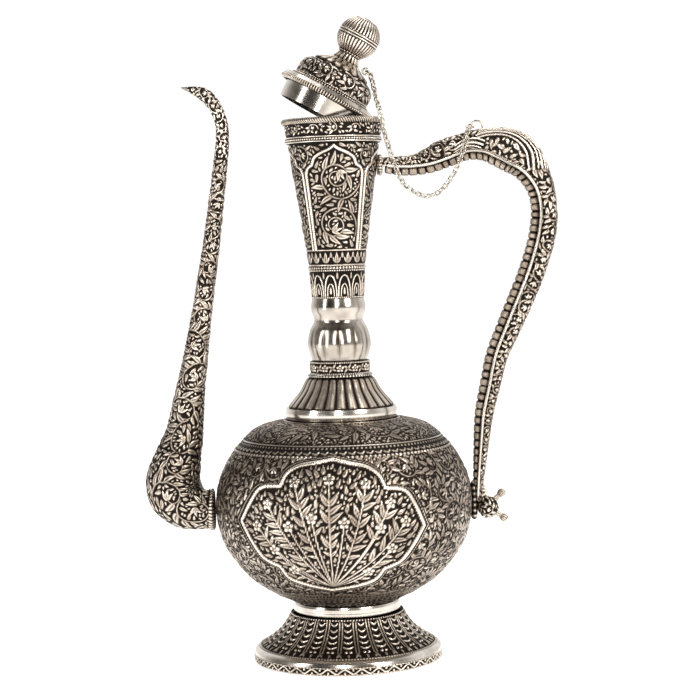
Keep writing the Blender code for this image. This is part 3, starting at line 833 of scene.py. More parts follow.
def draw_arcade(relief):
    """Twelve pointed arches, each with a smaller arch and a bud inside it."""
    count, tall = 12, relief.tall
    half = relief.wide / count / 2
    for share, width in ((0.86, 1.0), (0.5, 0.75)):
        for k in range(count):
            centre = (k + 0.5) * relief.wide / count
            reach, crown = half * share, 1.4 + (tall - 2.6) * share
            t = np.linspace(0, 1, 40)
            side = reach * np.sqrt(np.clip(1 - t ** 2.4, 0, 1))
            for sign in (-1, 1):
                relief.line(np.column_stack([centre + sign * side, 1.4 + (crown - 1.4) * t]), width, 0.8, 0.25)
    relief.leaves(around(relief, count, 0.5), np.full(count, 2), math.pi / 2, 4.4, 0.8, 0.85, 0)
    relief.leaves(around(relief, count), np.full(count, tall - 5.2), math.pi / 2, 4.2, 0.7, 0.7, 0)
    for v in (0.5, tall - 0.5):
        relief.dots(around(relief, 76), np.full(76, v), 0.55, 0.85)


def draw_neck(relief):
    """Four arched panels of S-scrolls over a leaf border."""
    count, tall = 4, relief.tall
    border = 8.4
    for v in (0.5, border):
        relief.line([(0, v), (relief.wide, v)], 0.9, 0.85)
    merlons = 16
    relief.leaves(around(relief, merlons), np.full(merlons, 1.2), math.pi / 2, 6.4, 1.25, 0.95, 0)
    for lean in (0.7, 2.44):
        relief.leaves(around(relief, merlons), np.full(merlons, 1.8), lean, 3.8, 0.85, 0.9, 0.3 if lean < 1 else -0.3)
    relief.leaves(around(relief, merlons, 0.5), np.full(merlons, 4.2), math.pi / 2, 3.4, 0.8, 0.8, 0)
    half = relief.wide / count / 2
    right = np.vstack([smooth_line([(0.93, 9.4), (0.93, 30), (0.93, 48.6)], 0.4)[:-1],
                       smooth_line([(0.93, 48.6), (0.86, 51.4), (0.68, 53.4)], 0.05)[:-1],
                       smooth_line([(0.68, 53.4), (0.6, 56.8), (0.4, 59.2), (0.13, 61.4), (0, 63.2)], 0.05)])
    for k in range(count):
        u0 = k * relief.wide / count
        for sign in (-1, 1):
            side = np.column_stack([u0 + sign * half * right[:, 0], right[:, 1]])
            beads = even(side, 1.15)
            relief.dots(beads[:, 0], beads[:, 1], 1.05, 1.1)
        hand = 1 if k % 2 else -1
        relief.scroll(u0 - 1.2 * hand, 46.5, 9.6, hand, 4.2, 1.45, 1.2)
        relief.scroll(u0 + 0.8 * hand, 21.5, 9.0, -hand, 1.4, 1.45, 1.2)
        for v, size in ((tall - 7.5, 4.6), (tall - 16, 2.6)):
            relief.scroll(u0 + half, v, size, -hand, 1.0)
    for length, width in ((4.6, 1.1), (3, 0.8), (1.8, 0.52)):
        relief.fill(length, width, 0.8, border + 0.8, tall - 0.6)


def draw_collar(relief):
    """Round scrolls with leaves between them."""
    count, middle = 14, relief.tall / 2
    for k in range(count):
        relief.scroll(k * relief.wide / count, middle, 2.5, 1 if k % 2 else -1, 1.0, width=0.7)
    relief.fill(2.2, 0.6, 0.7, 0.4, relief.tall - 0.4)


def draw_moulding(relief):
    """A row of beads between two lines."""
    for v in (0.8, relief.tall - 0.8):
        relief.line([(0, v), (relief.wide, v)], 1.1, 0.8)
    relief.dots(around(relief, 112), np.full(112, relief.tall / 2), 0.72, 0.95)


def rope(line, steps, name, strands, depth, material, body="pot", nodes=None, place=None, wall=1.0, lean=0.0):
    """A roped or beaded moulding."""
    turned(name, line, steps, wall, material, body, nodes, ripple(strands, depth, 1.4, 0.12, 0.95, lean), place)


def round_moulding(radius, low, high, crown, rows=9):
    """A moulding whose face is round, as a profile."""
    t = np.linspace(0, 1, rows)
    return np.column_stack([radius + crown * np.sin(math.pi * t), low + (high - low) * t])


def build_neck():
    turned("shoulder_ring_polished", round_moulding(29.2, 128.6, 134.3, 0.5, 12), 260, 2, POLISHED,
           nodes=["shoulder_ring"])
    bell = even(smooth_line([(28, 134.5), (24.2, 138.9), (20.8, 143.2), (18.5, 147.6), (16.8, 150.1)], 0.3), 0.4)
    turned("neck_bell_chased", bell, 700, 1.4, CHASED, nodes=["neck_bell"], pattern=flutes(28, 0.9))
    rope(round_moulding(16.7, 150.2, 151.7, 0.5), 420, "neck_bell_rope", 60, 0.3, POLISHED, nodes=["neck_bell_ring"])
    foliate = even([(15.8, 151.8), (15.9, 158.5)], 0.3)
    turned("neck_foliate_chased", foliate, 460, 1.2, CHASED, nodes=["neck_foliate_band"],
           pattern=map_pattern(foliate, 0.8, 0.5, draw_foliate, 0.2))
    knop = even(smooth_line([(14.5, 158.6), (16, 162.8), (16.8, 168), (15.5, 175), (13, 180), (14.2, 184.6),
                             (14.5, 187.5), (13.8, 191.7)], 0.3), 0.6)

    def lobes(angle, along):
        share = along / along.max()
        swell = np.exp(-((share - 0.3) / 0.2) ** 2)
        wave = np.abs(np.sin(angle * 6))
        return swell * 0.5 * (wave - 0.5), 0.68 - swell * 0.6 * (1 - wave) ** 3

    turned("neck_knop_polished", knop, 360, 1.6, POLISHED, nodes=["neck_knop"], pattern=lobes)
    arcade = even([(13.8, 191.8), (15, 207)], 0.3)
    turned("neck_arcade_chased", arcade, 440, 1.2, CHASED, nodes=["neck_arcade_band"],
           pattern=map_pattern(arcade, 0.8, 0.5, draw_arcade, 0.2))
    rope(round_moulding(14.7, 207.1, 208.8, 0.6), 420, "neck_arcade_rope", 56, 0.3, POLISHED,
         nodes=["neck_arcade_ring"])
    cone = even(smooth_line([(14.8, 208.8), (17.3, 226.2), (18.9, 237.3), (20.7, 249.2), (22.3, 259.6),
                             (23.8, 272.8)], 0.3), 0.42)
    turned("neck_cone_chased", cone, 560, 1.4, CHASED, nodes=["neck_shell"],
           pattern=map_pattern(cone, 0.8, 0.5, draw_neck, 0.22))
    moulding = round_moulding(24.9, 272.9, 276.9, 0.6, 20)
    turned("collar_moulding_beaded", moulding, 700, 1.4, CHASED, nodes=["collar_moulding"],
           pattern=map_pattern(moulding, 0.8, 0.5, draw_moulding, 0.2))
    band = even([(25.3, 277), (25.8, 283.1)], 0.3)
    turned("collar_band_chased", band, 700, 1.2, CHASED, nodes=["collar_band"],
           pattern=map_pattern(band, 0.75, 0.45, draw_collar, 0.2))
    rope(round_moulding(26.4, 283.2, 286, 0.9, 10), 900, "mouth_rim_rope", 126, 0.5, CHASED, nodes=["mouth_rim"],
         wall=1.8, lean=0.02)


# ---------------------------------------------------------------- the spout

ELBOW = [(-71.5, 81.3, 10.1), (-77, 81.6, 11.2), (-84, 84.2, 13.2), (-89.2, 90, 14.7), (-90.4, 97.5, 14.6),
         (-88.6, 105.5, 13.2), (-86.4, 113, 11.8)]
TUBE = [(-86.4, 113.1, 11.8), (-84, 121, 10.3), (-81.7, 133.5, 8.9), (-79.4, 147, 7.6), (-76.7, 161, 6.7),
        (-71.6, 190, 5.2), (-66.4, 220, 4.5), (-63.9, 236.5, 4.2), (-61.5, 252.7, 4), (-59.5, 267.1, 3.7)]
BEAK = [(-59.5, 267.2, 3.7), (-58.3, 278.5, 3.4), (-59, 287, 3.3), (-62, 294.5, 3.4), (-66.5, 300.2, 3.5),
        (-71.2, 302.7, 2.7), (-75.2, 304.1, 1.6), (-79.2, 305.0, 0.6)]
BEAK_TOP = 305.0


def swept_grid(line, steps):
    """Rings across a line of (x, z, radius) in the XZ plane; the first column faces the front."""
    tangent = np.gradient(line[:, :2], axis=0)
    tangent /= np.linalg.norm(tangent, axis=1, keepdims=True)
    angles = np.linspace(0, 2 * math.pi, steps, endpoint=False)[None]
    r = line[:, 2][:, None]
    x = line[:, 0][:, None] - tangent[:, 1][:, None] * r * np.sin(angles)
    z = line[:, 1][:, None] + tangent[:, 0][:, None] * r * np.sin(angles)
    return np.stack([x, -r * np.cos(angles) + 0 * x, z], -1)


def swept(name, stations, steps, step, wall, material, nodes, draw=None, full=0.75, sink=0.4, cell=0.22,
          squash=None, tone=0.8):
    line = smooth_line(stations, step)
    along = along_of(line)
    grid = swept_grid(line, steps)
    if squash is not None:
        grid = squash(grid)
    if draw is None:
        return skin(name, grid, np.zeros(grid.shape[:2]), np.full(grid.shape[:2], tone), wall, material, "pot", nodes)
    widest = line[:, 2].max()
    relief = Relief(2 * math.pi * widest, along[-1], cell, (along, line[:, 2] / widest))
    draw(relief)
    angle, at = np.meshgrid(np.linspace(0, 2 * math.pi, steps, endpoint=False), along)
    heights, tones = relief_pattern(relief, full, sink)(angle, at)
    spacing = np.linalg.norm(np.gradient(grid, axis=0), axis=2) / step
    return skin(name, grid, heights * np.clip(spacing / 0.5, 0.05, 1), tones, wall, material, "pot", nodes)


def unfolded(grid):
    """Rings spread out again where the inside of a tight bend folds them over each other."""
    grid = grid.copy()
    lead = np.gradient(grid.mean(1), axis=0)
    lead /= np.linalg.norm(lead, axis=1, keepdims=True)
    back = (np.diff(grid, axis=0) * lead[:-1, None]).sum(2) < 0.04
    for column in np.flatnonzero(back.any(0)):
        rows = np.flatnonzero(back[:, column])
        a, b = rows[0], rows[-1] + 1
        way = lead[(a + b) // 2]
        while a > 0 and b < len(grid) - 1 and (grid[b, column] - grid[a, column]) @ way < 0.06 * (b - a):
            a, b = a - 1, b + 1
        share = np.linspace(0, 1, b - a + 1)[:, None]
        grid[a:b + 1, column] = (1 - share) * grid[a, column] + share * grid[b, column]
    return grid


def draw_spout(relief):
    """Large curling leaves that climb either side of the spout, scrolls on the flanks, buds between."""
    v, rank = 5.0, 0
    while v < relief.tall - 4:
        size = min(8.5, 0.21 * relief.wide * float(relief.at(v)))
        hand = 1 if rank % 2 else -1
        for u0, way in ((0, hand), (relief.wide / 2, -hand)):
            relief.scroll(u0 + way * 0.15 * size, v, size, way, 0.6 + 0.4 * rank, 0.8, 1.0)
        v += size * 1.95
        rank += 1
    for length, width in ((4.6, 1.1), (3, 0.8), (1.9, 0.54)):
        relief.fill(length, width, 0.8, 0.3, relief.tall - 0.3)


def draw_beak(relief):
    """Small leaves that lie along the beak."""
    for k in range(7):
        relief.scroll(0.3 * (-1) ** k, 4 + 6.3 * k, 2.9, (-1) ** k, 1.5 * k, 0.7, 0.7, 0.7)
    for length, width in ((4.2, 0.95), (2.6, 0.7), (1.7, 0.5)):
        relief.fill(length, width, 0.7, 0.4, relief.tall - 2, flow=lambda u, v: 1.3 + 0.5 * np.sin(v / 3))


def build_spout():
    ring = even(smooth_line([(-68.9, 81.2, 10.2), (-70, 81.2, 11.2), (-71.4, 81.3, 10.6)], 0.2), 0.3)
    grid = swept_grid(ring, 300)
    angle = np.linspace(0, 2 * math.pi, 300, endpoint=False)[None] + 0 * ring[:, :1]
    wave = np.abs(np.cos(angle * 18))
    skin("spout_collar_ribbed", grid, 0.4 * (wave - 0.6), 0.15 + 0.75 * wave, 2, CHASED, "pot", ["spout_collar"])
    swept("spout_elbow_chased", ELBOW, 400, 0.42, 0.9, CHASED, ["spout_elbow"], draw_spout, squash=unfolded)
    swept("spout_tube_chased", TUBE, 300, 0.5, 0.9, CHASED, ["spout_tube"], draw_spout)

    def trimmed(made):
        made = made.copy()
        made[..., 2] = np.minimum(made[..., 2], BEAK_TOP)
        return made

    swept("spout_beak_chased", BEAK, 220, 0.45, 0.42, CHASED, ["spout_beak"], draw_beak, 0.6, 0.25, squash=trimmed)


# ---------------------------------------------------------------- the handle

HANDLE = [
    (24.2, 261.3, 8.9, 4.9), (26.4, 261.15, 8.5, 4.6), (34, 260.5, 10.1, 5.2), (42.3, 260.6, 10.9, 5.6), (50.5, 262.8, 13.4, 6),
    (58.5, 266.2, 15.2, 6.3), (69, 269.4, 14.6, 6.4), (78.5, 270.4, 17, 6.4), (86.5, 269, 20.5, 6.5),
    (93.5, 266.5, 22.5, 6.5), (99.6, 262.5, 21.5, 6.5), (104.7, 255.7, 17.6, 6.3), (108.6, 247, 14.7, 6),
    (110.3, 237.4, 13.9, 5.6), (110, 227.5, 14.3, 5.4), (107.4, 215.5, 14.2, 5.2), (102.2, 200.5, 14, 5.1),
    (96.2, 186.8, 13.8, 5), (89.8, 173, 13, 4.9), (83.4, 158.7, 11.8, 4.8), (79.2, 142.4, 10.9, 4.7),
    (75.6, 126.9, 9.8, 4.6), (73.4, 107.5, 7.6, 4.5), (71.9, 92.6, 5.6, 4.4),
    (71.0, 80.5, 4.2, 4.2),
]
STRIP_DEPTH, STRIP_HALF, RAIL_RADIUS, RAIL_STAND = 4.6, 3.2, 0.8, 1.3
BLOCK_PITCH = 4.1
BACK_SHAPE = [(0.0, 0.0), (0, -0.72), (0.3, -0.97), (0.62, -0.95), (0.88, -0.62), (1.0, 0.0)]


def handle_line(step):
    """Even stations (x, z, width, half, distance) with their outward vectors."""
    line = smooth_line(HANDLE, step)
    tangent = np.gradient(line[:, :2], axis=0)
    tangent /= np.linalg.norm(tangent, axis=1, keepdims=True)
    outward = np.column_stack([-tangent[:, 1], tangent[:, 0]])
    return line, outward, along_of(line)


def inset_of(width):
    return np.minimum(STRIP_DEPTH + 0.3, 0.45 * width)


def back_outline(steps):
    """The back's D section as even (depth, across) shares, starting at the middle of the flat side."""
    half = smooth_line(BACK_SHAPE[1:], 0.01)
    flat = even([(0.0, 0.0), (0.0, -0.72)], 0.02)
    front = np.vstack([flat[:-1], half])
    whole = np.vstack([front, (front * [1, -1])[::-1][1:-1]])
    return resample(whole, steps)


def resample(loop, steps):
    """A closed loop at this many even steps."""
    closed = np.vstack([loop, loop[:1]])
    along = np.concatenate([[0], np.cumsum(np.linalg.norm(np.diff(closed, axis=0), axis=1))])
    at = np.linspace(0, along[-1], steps, endpoint=False)
    return np.column_stack([np.interp(at, along, column) for column in closed.T])


def draw_handle(relief):
    """Scrolls along both flanks, and long leaf ribs that sweep over the crown."""
    quarter = relief.wide / 4
    v, rank = 6.0, 0
    while v < relief.tall - 4:
        crown = 52 < v < 78
        hand = 1 if rank % 2 else -1
        size = 5.4 * float(relief.at(v)) + 0.4
        if not crown:
            for u0, way in ((quarter * 1.22, hand), (quarter * 2.78, -hand)):
                relief.scroll(u0 % relief.wide, v, size, way, 0.5 * rank)
            relief.leaves(np.array([relief.wide / 2]), np.array([v - 2]), math.pi / 2, 6.5, 1.3, 0.9, 0)
        v += size * 1.9
        rank += 1
    t = np.linspace(0, 1, 30)
    for rear in (False, True):
        for first, last, low, high, bow, count in ((1.1, 0.78, 52, 86, 0.34, 6), (0.7, 0.7, 40, 55, 0.14, 3)):
            for k in range(count):
                u = quarter * (first + 0.15 * k + (last - first) * t + bow * np.sin(math.pi * t))
                run = np.column_stack([4 * quarter - u if rear else u, low + (high - low) * t + 0.8 * k])
                relief.line(run, 1.25 if k % 2 else 0.8, 0.95)
    for length, width in ((4.4, 1.05), (2.9, 0.8), (1.8, 0.52)):
        relief.fill(length, width, 0.8, 1, relief.tall - 1)
    for u in (quarter * 0.62, quarter * 3.38):
        run = np.arange(1, relief.tall - 1, 0.9)
        relief.dots(np.full(run.size, u), run, 0.55, 0.85)


def build_handle():
    line, outward, along = handle_line(0.56)
    steps = 190
    section = back_outline(steps)
    x, z, width, half = line.T
    inset = inset_of(width)
    depth = (inset - width / 2)[:, None] + (width - inset)[:, None] * section[None, :, 0]
    grid = np.stack([x[:, None] + outward[:, :1] * depth, half[:, None] * section[None, :, 1] + 0 * depth,
                     z[:, None] + outward[:, 1:] * depth], -1)
    girth = np.linalg.norm(np.diff(grid, axis=1, append=grid[:, :1]), axis=2).sum(1)
    relief = Relief(girth.max(), along[-1], 0.22, (along, girth / girth.max()))
    draw_handle(relief)
    angle, at = np.meshgrid(np.linspace(0, 2 * math.pi, steps, endpoint=False), along)
    heights, tones = relief_pattern(relief, 0.75, 0.4)(angle, at)
    ends = np.clip(np.minimum(at, along[-1] - at) / 1.5, 0, 1)
    skin("handle_back_chased", grid, heights * ends, tones, 0, CHASED, "pot", ["handle_back"])
    build_strip(line, outward, along)


def build_strip(line, outward, along):
    """The blocked strip along the inner side and the rail to either side of it."""
    run = (along > 2.5) & (along < along[-1] - 2)
    line, outward, along = line[run], outward[run], along[run] - along[run][0]
    x, z, width, half = line.T
    high = (inset_of(width) - 0.3 - width / 2)[:, None]
    low = (-width / 2)[:, None]
    corner = np.array([(0, -1), (0.45, -1), (0.8, -0.97), (0.95, -0.86), (1, -0.6), (1, 0), (1, 0.6), (0.95, 0.86),
                       (0.8, 0.97), (0.45, 1), (0, 1)])
    phase = (along / BLOCK_PITCH) % 1
    groove = np.clip((np.abs(phase - 0.5) - 0.38) / 0.04, 0, 1)[:, None]
    depth = high + (low - high) * corner[None, :, 0] * (1 - 0.16 * groove)
    across = STRIP_HALF * corner[None, :, 1] * (1 - 0.3 * groove)
    grid = np.stack([x[:, None] + outward[:, :1] * depth, across + 0 * depth, z[:, None] + outward[:, 1:] * depth], -1)
    # Painted shade: the grooves between the blocks are cut only shallow, and their tone falls towards black to paint
    # the shade of deep notches, on top of the oxide kept in them.
    tones = np.broadcast_to(np.clip(0.58 - 0.75 * groove, 0, 1), grid.shape[:2])
    skin("handle_strip_blocked", grid, np.zeros(grid.shape[:2]), tones, 0, CHASED, "pot", ["handle_belly_strip"])
    picks = slice(2, -2, 2)
    offset = inset_of(width) - width / 2
    for name, side in (("front", -1), ("rear", 1)):
        path = np.column_stack([x + outward[:, 0] * offset, side * (0.72 * half + RAIL_STAND),
                                z + outward[:, 1] * offset])[picks]
        wire_tube(f"handle_rail_{name}_bright", path, RAIL_RADIUS, POLISHED, "pot", [f"handle_rail_{name}"])


def tube_grid(path, radius, sides):
    """Rings along any path in space, without twist."""
    path = np.asarray(path, float)
    tangent = np.gradient(path, axis=0)
    tangent /= np.linalg.norm(tangent, axis=1, keepdims=True)
    across = np.cross(tangent[0], (0.3, 0.5, 0.81))
    rings = []
    for point, way in zip(path, tangent):
        across = across - way * np.dot(across, way)
        across /= np.linalg.norm(across)
        other = np.cross(way, across)
        angles = np.linspace(0, 2 * math.pi, sides, endpoint=False)[:, None]
        rings.append(point + radius * (np.cos(angles) * across + np.sin(angles) * other))
    return np.array(rings)


def wire_tube(name, path, radius, material, body, nodes, sides=14):
    grid = tube_grid(path, radius, sides)
    return skin(name, grid, np.zeros(grid.shape[:2]), np.full(grid.shape[:2], 0.8), 0, material, body, nodes)


def turn_to(origin, direction):
    """A frame at origin, in millimetres, whose Z runs along direction."""
    turn = Vector((0, 0, 1)).rotation_difference(Vector(direction)).to_matrix().to_4x4()
    return Matrix.Translation(origin) @ turn


def arc_profile(radius, start, end, rows, middle=0.0):
    """Part of a ball's profile, by angle up from its middle."""
    a = np.linspace(start, end, rows)
    return np.column_stack([np.maximum(radius * np.cos(a), 0.05), middle + radius * np.sin(a)])


def build_handle_ends():
    socket = lines_of([(5.0, -1.2), (5.6, 0.2), (5.4, 1.2), (4.2, 1.6)], 0.2)
    turned("handle_socket_turned", socket, 90, 0, CHASED, nodes=["handle_socket"],
           place=turn_to((23.8, 0, 261.2), (1, 0, 0)), pattern=ripple(20, 0.2))
    profile = arc_profile(6.0, -1.5, 1.5, 60)
    axis = (7.6, 0, 2.0)

    def leafy(relief):
        for u in around(relief, 4):
            relief.scroll(u, relief.tall / 2, 3.4, 1, u, width=0.8)
        relief.fill(2.6, 0.7, 0.7, 2.5, relief.tall - 2.5)

    turned("handle_ball_chased", profile, 240, 0, CHASED, nodes=["handle_ball"],
           pattern=map_pattern(profile, 0.75, 0.4, leafy, 0.2),
           place=turn_to((76.5, 0, 78.1), axis))
    for name, target in (("upper", (84.1, 85.5)), ("lower", (84, 72.7))):
        nub = smooth_line([(1.5, 5.4), (1.3, 8.2), (1.8, 9.2), (2.1, 10.6), (1.6, 12.1), (0.15, 12.6)], 0.25)
        turned(f"handle_nub_{name}_turned", nub, 80, 0, CHASED, nodes=[f"handle_nub_{name}"],
               place=turn_to((76.5, 0, 78.1), (target[0] - 76.5, 0, target[1] - 78.1)), pattern=ripple(12, 0.25, low=0.1))
    build_foot_pad()


def build_foot_pad():
    """The plate that joins the handle to the body, with a rounded back and two curled leaves."""
    rows, steps = 60, 44
    t = np.linspace(-1, 1, rows)
    half = 4.6 * np.sqrt(np.clip(1 - np.abs(t) ** 3.5, 0.02, 1))
    around_it = np.linspace(0, 2 * math.pi, steps, endpoint=False)
    x = 69.2 + 1.9 * np.cos(around_it)[None] * np.sqrt(np.clip(1 - t ** 8, 0.05, 1))[:, None]
    y = half[:, None] * np.sin(around_it)[None]
    grid = np.stack([x, y, 82.0 + 10.5 * t[:, None] + 0 * x], -1)
    tones = np.clip(0.45 + 0.4 * np.sin(t * 22)[:, None] + 0 * x, 0, 1)
    skin("handle_foot_plate", grid, np.zeros(x.shape), tones, 0, CHASED, "pot", ["handle_foot_pad"])
    turn = np.linspace(0, 1, 46)[:, None]
    for side in (-1, 1):
        angle = 1.2 + turn * 7.2
        size = 2.6 * (1 - 0.75 * turn)
        curl = np.hstack([74.0 + size * np.cos(angle), side * 1.9 + 0 * turn, 86.4 + size * np.sin(angle)])
        wire_tube(f"handle_curl_{'front' if side < 0 else 'rear'}", curl, 0.9, CHASED, "pot", ["handle_foot_pad"], 12)


# ---------------------------------------------------------------- the lid

LID = (Matrix.Translation((17.2, 0, 299.8)) @ Matrix.Rotation(math.radians(30), 4, "Y")
       @ Matrix.Translation((1 - 17.2, 0, 286.6 - 299.8)))


def draw_dome(relief):
    """Round flower scrolls between leaves, edged with beads."""
    count, middle = 9, relief.tall * 0.5
    for k in range(count):
        relief.scroll((k + 0.5) * relief.wide / count, middle, 4.8, 1 if k % 2 else -1, 1.0, width=0.95)
    relief.fill(3.2, 0.85, 0.75, 0.8, relief.tall - 0.8)
    relief.fill(1.9, 0.54, 0.6, 0.8, relief.tall - 0.8)
    relief.dots(around(relief, 110), np.full(110, 0.6), 0.55, 0.85)


def petals(count, depth):
    """Round petals in overlapping ranks."""

    def pattern(angle, along):
        rank = along / along.max() * 3.0
        shift = np.floor(rank) % 2 * 0.5
        across = (angle * count / (2 * math.pi) + shift) % 1 - 0.5
        share = rank % 1
        edge = np.clip(1 - (across / 0.47) ** 2 - (1 - share) ** 3, 0, 1) ** 0.5
        return depth * (edge - 0.6), np.clip(0.05 + 0.85 * edge, 0, 1)

    return pattern


def build_lid():
    ride = dict(body="lid", place=LID)
    sleeve = even([(22.3, -9), (22.8, -0.3)], 0.6)
    turned("lid_sleeve_polished", sleeve, 240, 0.9, POLISHED, nodes=["lid_sleeve"], tone=0.75, inner_tone=0.6, **ride)
    flange = np.vstack([[(25.0, 0)], round_moulding(25.6, 0.1, 2.3, 1.0, 12)])
    rope(flange, 760, "lid_flange_beaded", 112, 0.55, CHASED, nodes=["lid_flange"], wall=3.0, **ride)
    bevel = even([(26.3, 2.35), (25.2, 4.2)], 0.3)
    turned("lid_flange_bevel", bevel, 240, 3.0, POLISHED, nodes=["lid_flange"], **ride)
    top = np.array([(25.1, 4.2), (24.2, 4.45), (22.2, 4.45)])
    turned("lid_flange_top", top, 200, 0.6, POLISHED, nodes=["lid_flange"], tone=0.6, **ride)
    rope(round_moulding(21.6, 4.5, 5.7, 0.7), 640, "lid_rope_ring", 90, 0.3, CHASED, wall=1.2,
         nodes=["lid_bead_ring"], **ride)
    dome = even(smooth_line([(20.7, 5.8), (21, 8.5), (20.7, 11.8), (19.4, 14.4), (16.4, 16.8)], 0.3), 0.36)
    turned("lid_dome_chased", dome, 560, 1.2, CHASED, nodes=["lid_dome"],
           pattern=map_pattern(dome, 0.8, 0.5, draw_dome, 0.2), **ride)
    cap = even(smooth_line([(15.6, 16.9), (14.9, 18.2), (12.4, 19.5), (10.2, 20.5), (7.8, 22.2), (6.2, 24.4),
                            (5.5, 26.3)], 0.3), 0.3)
    turned("lid_cap_petalled", cap, 480, 1.2, CHASED, nodes=["lid_cap"], pattern=petals(18, 0.7), **ride)
    neck = np.vstack([[(4.5, 26.4)], round_moulding(6.0, 26.5, 27.7, 0.5), [(4.5, 27.8)]])
    rope(neck, 300, "finial_neck_beaded", 26, 0.35, CHASED, nodes=["finial_neck"], wall=0, **ride)
    build_finial(ride)


def build_finial(ride):
    """The ball: meridian ribs above and below a double band."""
    ball = arc_profile(11.1, -0.9, 1.53, 96, 36.6)

    def ribs(angle, along):
        height = np.interp(along, along_of(ball), ball[:, 1]) - 36.6
        wave = np.abs(np.cos(angle * 18)) ** 0.7
        band = np.exp(-((np.abs(height) - 0.72) / 0.5) ** 4)
        ground = np.abs(height) < 1.5
        ridge = np.where(ground, band, np.maximum(wave * np.clip((10.6 - np.abs(height)) / 2, 0, 1), band))
        crown = np.exp(-((height - 9.6) / 0.5) ** 2)
        ridge = np.maximum(ridge, crown)
        return 0.55 * (ridge - 0.6), np.clip(0.04 + 0.88 * ridge ** 1.6, 0, 1)

    turned("finial_ball_ribbed", ball, 620, 0, CHASED, nodes=["finial_ball"], pattern=ribs, **ride)


# ---------------------------------------------------------------- the chain, its rings and its loops

CHAIN_ROUTE = [
    (20.8, -1.7, 307.3), (21.5, -2.9, 304.6), (22.4, -6.5, 299.8), (23.2, -12.6, 294.3), (24.3, -17.2, 289.8), (25, -18.2, 285.2),
    (26.1, -17.4, 279.5), (28, -15, 272.6), (30.2, -12.6, 265), (32.6, -11.2, 258.1), (35.5, -10.2, 251.9),
    (40.1, -9.4, 247.4), (47.4, -9, 243.9), (54.3, -9, 245.6), (59.8, -9.2, 251.2), (64.1, -9.4, 257.8),
    (67.2, -9.4, 265.4), (69.2, -8.8, 272.0), (70.4, -7.2, 276.6), (71.0, -4.9, 279.3), (71.4, -3.4, 280.1),
]
CHAIN_SPLIT = 39.0
LINK_PITCH, LINK_LONG, LINK_WIDE, LINK_WIRE = 2.65, 3.9, 3.3, 0.47


def closed_tube(loop, radius, sides):
    """A ring of wire along a closed loop."""
    loop = np.asarray(loop, float)
    tangent = np.roll(loop, -1, 0) - np.roll(loop, 1, 0)
    tangent /= np.linalg.norm(tangent, axis=1, keepdims=True)
    flat = np.cross(loop[len(loop) // 4] - loop[0], loop[len(loop) // 2] - loop[0])
    flat /= np.linalg.norm(flat)
    across = np.cross(tangent, flat)
    angles = np.linspace(0, 2 * math.pi, sides, endpoint=False)
    rings = loop[:, None] + radius * (np.cos(angles)[None, :, None] * across[:, None]
                                      + np.sin(angles)[None, :, None] * flat)
    index = np.arange(len(loop) * sides).reshape(len(loop), sides)
    quads = np.stack([index, np.roll(index, -1, 1), np.roll(np.roll(index, -1, 1), -1, 0),
                      np.roll(index, -1, 0)], -1).reshape(-1, 4)
    return rings.reshape(-1, 3), quads


def wire_ring(name, centre, major, minor, axis, body, nodes):
    turn = turn_to(centre, axis)
    angles = np.linspace(0, 2 * math.pi, 40, endpoint=False)
    loop = np.array([turn @ Vector((major * math.cos(a), major * math.sin(a), 0)) for a in angles])
    points, quads = closed_tube(loop, minor, 12)
    return finish_piece(mesh_of(name, points, [outward_faces(points, quads, loop)], np.full(len(points), 0.8)),
                        WIRE, body, nodes)


def outward_faces(points, quads, loop):
    """The same faces, turned over if they face in."""
    corners = points[quads]
    normal = np.cross(corners[:, 1] - corners[:, 0], corners[:, 2] - corners[:, 0])
    sides = len(points) // len(loop)
    core = np.repeat(np.asarray(loop), sides, 0)[quads[:, 0]]
    return quads if (normal * (corners.mean(1) - core)).sum() > 0 else quads[:, ::-1]


def chain_piece(name, path):
    """Real links along a path, each turned a quarter from the one before."""
    path = even(path, LINK_PITCH, 3)
    tangent = np.gradient(path, axis=0)
    tangent /= np.linalg.norm(tangent, axis=1, keepdims=True)
    side = np.cross(tangent[0], (0, 1, 0))
    all_points, all_quads, count = [], [], 0
    straight, bend = (LINK_LONG - LINK_WIDE) / 2, LINK_WIDE / 2 - LINK_WIRE
    angles = np.linspace(0, 2 * math.pi, 20, endpoint=False)
    for k, (centre, way) in enumerate(zip(path, tangent)):
        side = side - way * np.dot(side, way)
        side /= np.linalg.norm(side)
        other = np.cross(way, side)
        twist = math.radians(40 + 90 * (k % 2)) + RNG.uniform(-0.15, 0.15)
        flat = math.cos(twist) * side + math.sin(twist) * other
        long = bend * np.cos(angles) + np.sign(np.cos(angles)) * straight
        loop = centre + long[:, None] * way + (bend * np.sin(angles))[:, None] * flat
        points, quads = closed_tube(loop, LINK_WIRE, 9)
        all_quads.append(outward_faces(points, quads, loop) + count)
        all_points.append(points)
        count += len(points)
    points = np.vstack(all_points)
    piece = mesh_of(name, points, [np.vstack(all_quads)], np.full(len(points), 0.8))
    piece.data.materials.append(WIRE)
    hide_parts("chain")
    return piece


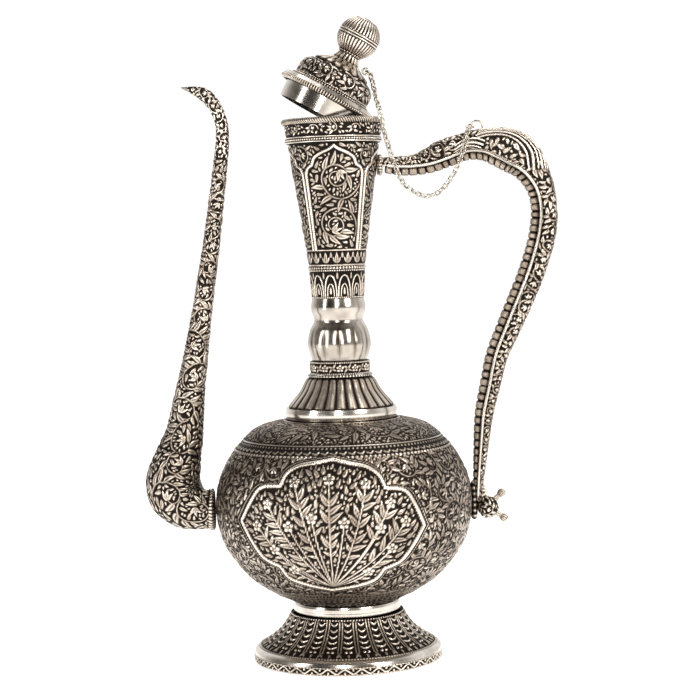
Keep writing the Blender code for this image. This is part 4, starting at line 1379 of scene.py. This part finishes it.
def build_chain():
    route = smooth_line_3d(CHAIN_ROUTE, 0.5)
    along = np.concatenate([[0], np.cumsum(np.linalg.norm(np.diff(route, axis=0), axis=1))])
    upper, lower = route[along <= CHAIN_SPLIT], route[along >= CHAIN_SPLIT - LINK_PITCH]
    for name, part, ends, blend_from, blend_to in (
        ("chain_lower", lower[::-1], ("pot", "lid_carrier"), (71, -4.9, 279.9), (30, -13, 266)),
        ("chain_upper", upper[::-1], ("lid_carrier", "lid"), (25, -18.2, 286), (21.5, -2.9, 304.6)),
    ):
        piece = chain_piece(name, part)
        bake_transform(piece)


def smooth_line_3d(points, step):
    """Even points along a smooth curve in space."""
    points = np.array(points, float)
    ends = np.vstack([2 * points[0] - points[1], points, 2 * points[-1] - points[-2]])
    t = np.linspace(0, 1, 24, endpoint=False)[:, None]
    runs = [0.5 * (2 * q + (r - p) * t + (2 * p - 5 * q + 4 * r - s) * t ** 2 + (3 * q - p - 3 * r + s) * t ** 3)
            for p, q, r, s in zip(ends, ends[1:], ends[2:], ends[3:])]
    return even(np.vstack([*runs, points[-1:]]), step, 3)


def build_rings():
    arch = [(72.9, 0, 277.8), (72.9, 0, 280.6), (74, 0, 282.4), (75.8, 0, 283), (77.6, 0, 282.6), (78.7, 0, 281),
            (78.8, 0, 279)]
    wire_tube("handle_chain_arch", smooth_line_3d(arch, 0.3), 0.5, WIRE, "pot", ["handle_chain_loop"])
    wire_ring("chain_ring_at_handle", (72.2, -0.65, 279.9), 2.0, 0.45, (0.05, -0.15, 1), "pot", ["chain_handle_ring"])
    eyelet = LID @ Vector((11.6, 0, 22.9))
    wire_ring("lid_eyelet_wire", eyelet, 1.6, 0.5, (0, 1, 0), "lid", ["lid_eyelet"])
    wire_ring("chain_ring_at_lid", LID @ Vector((13.6, -0.3, 23.1)), 2.0, 0.45, LID.to_3x3() @ Vector((-0.1, 0.15, 1)),
              "lid", ["chain_lid_ring"])


build_chain()
build_rings()
build_foot()
build_body()
build_neck()
build_spout()
build_handle()
build_handle_ends()
build_lid()
build_studio()
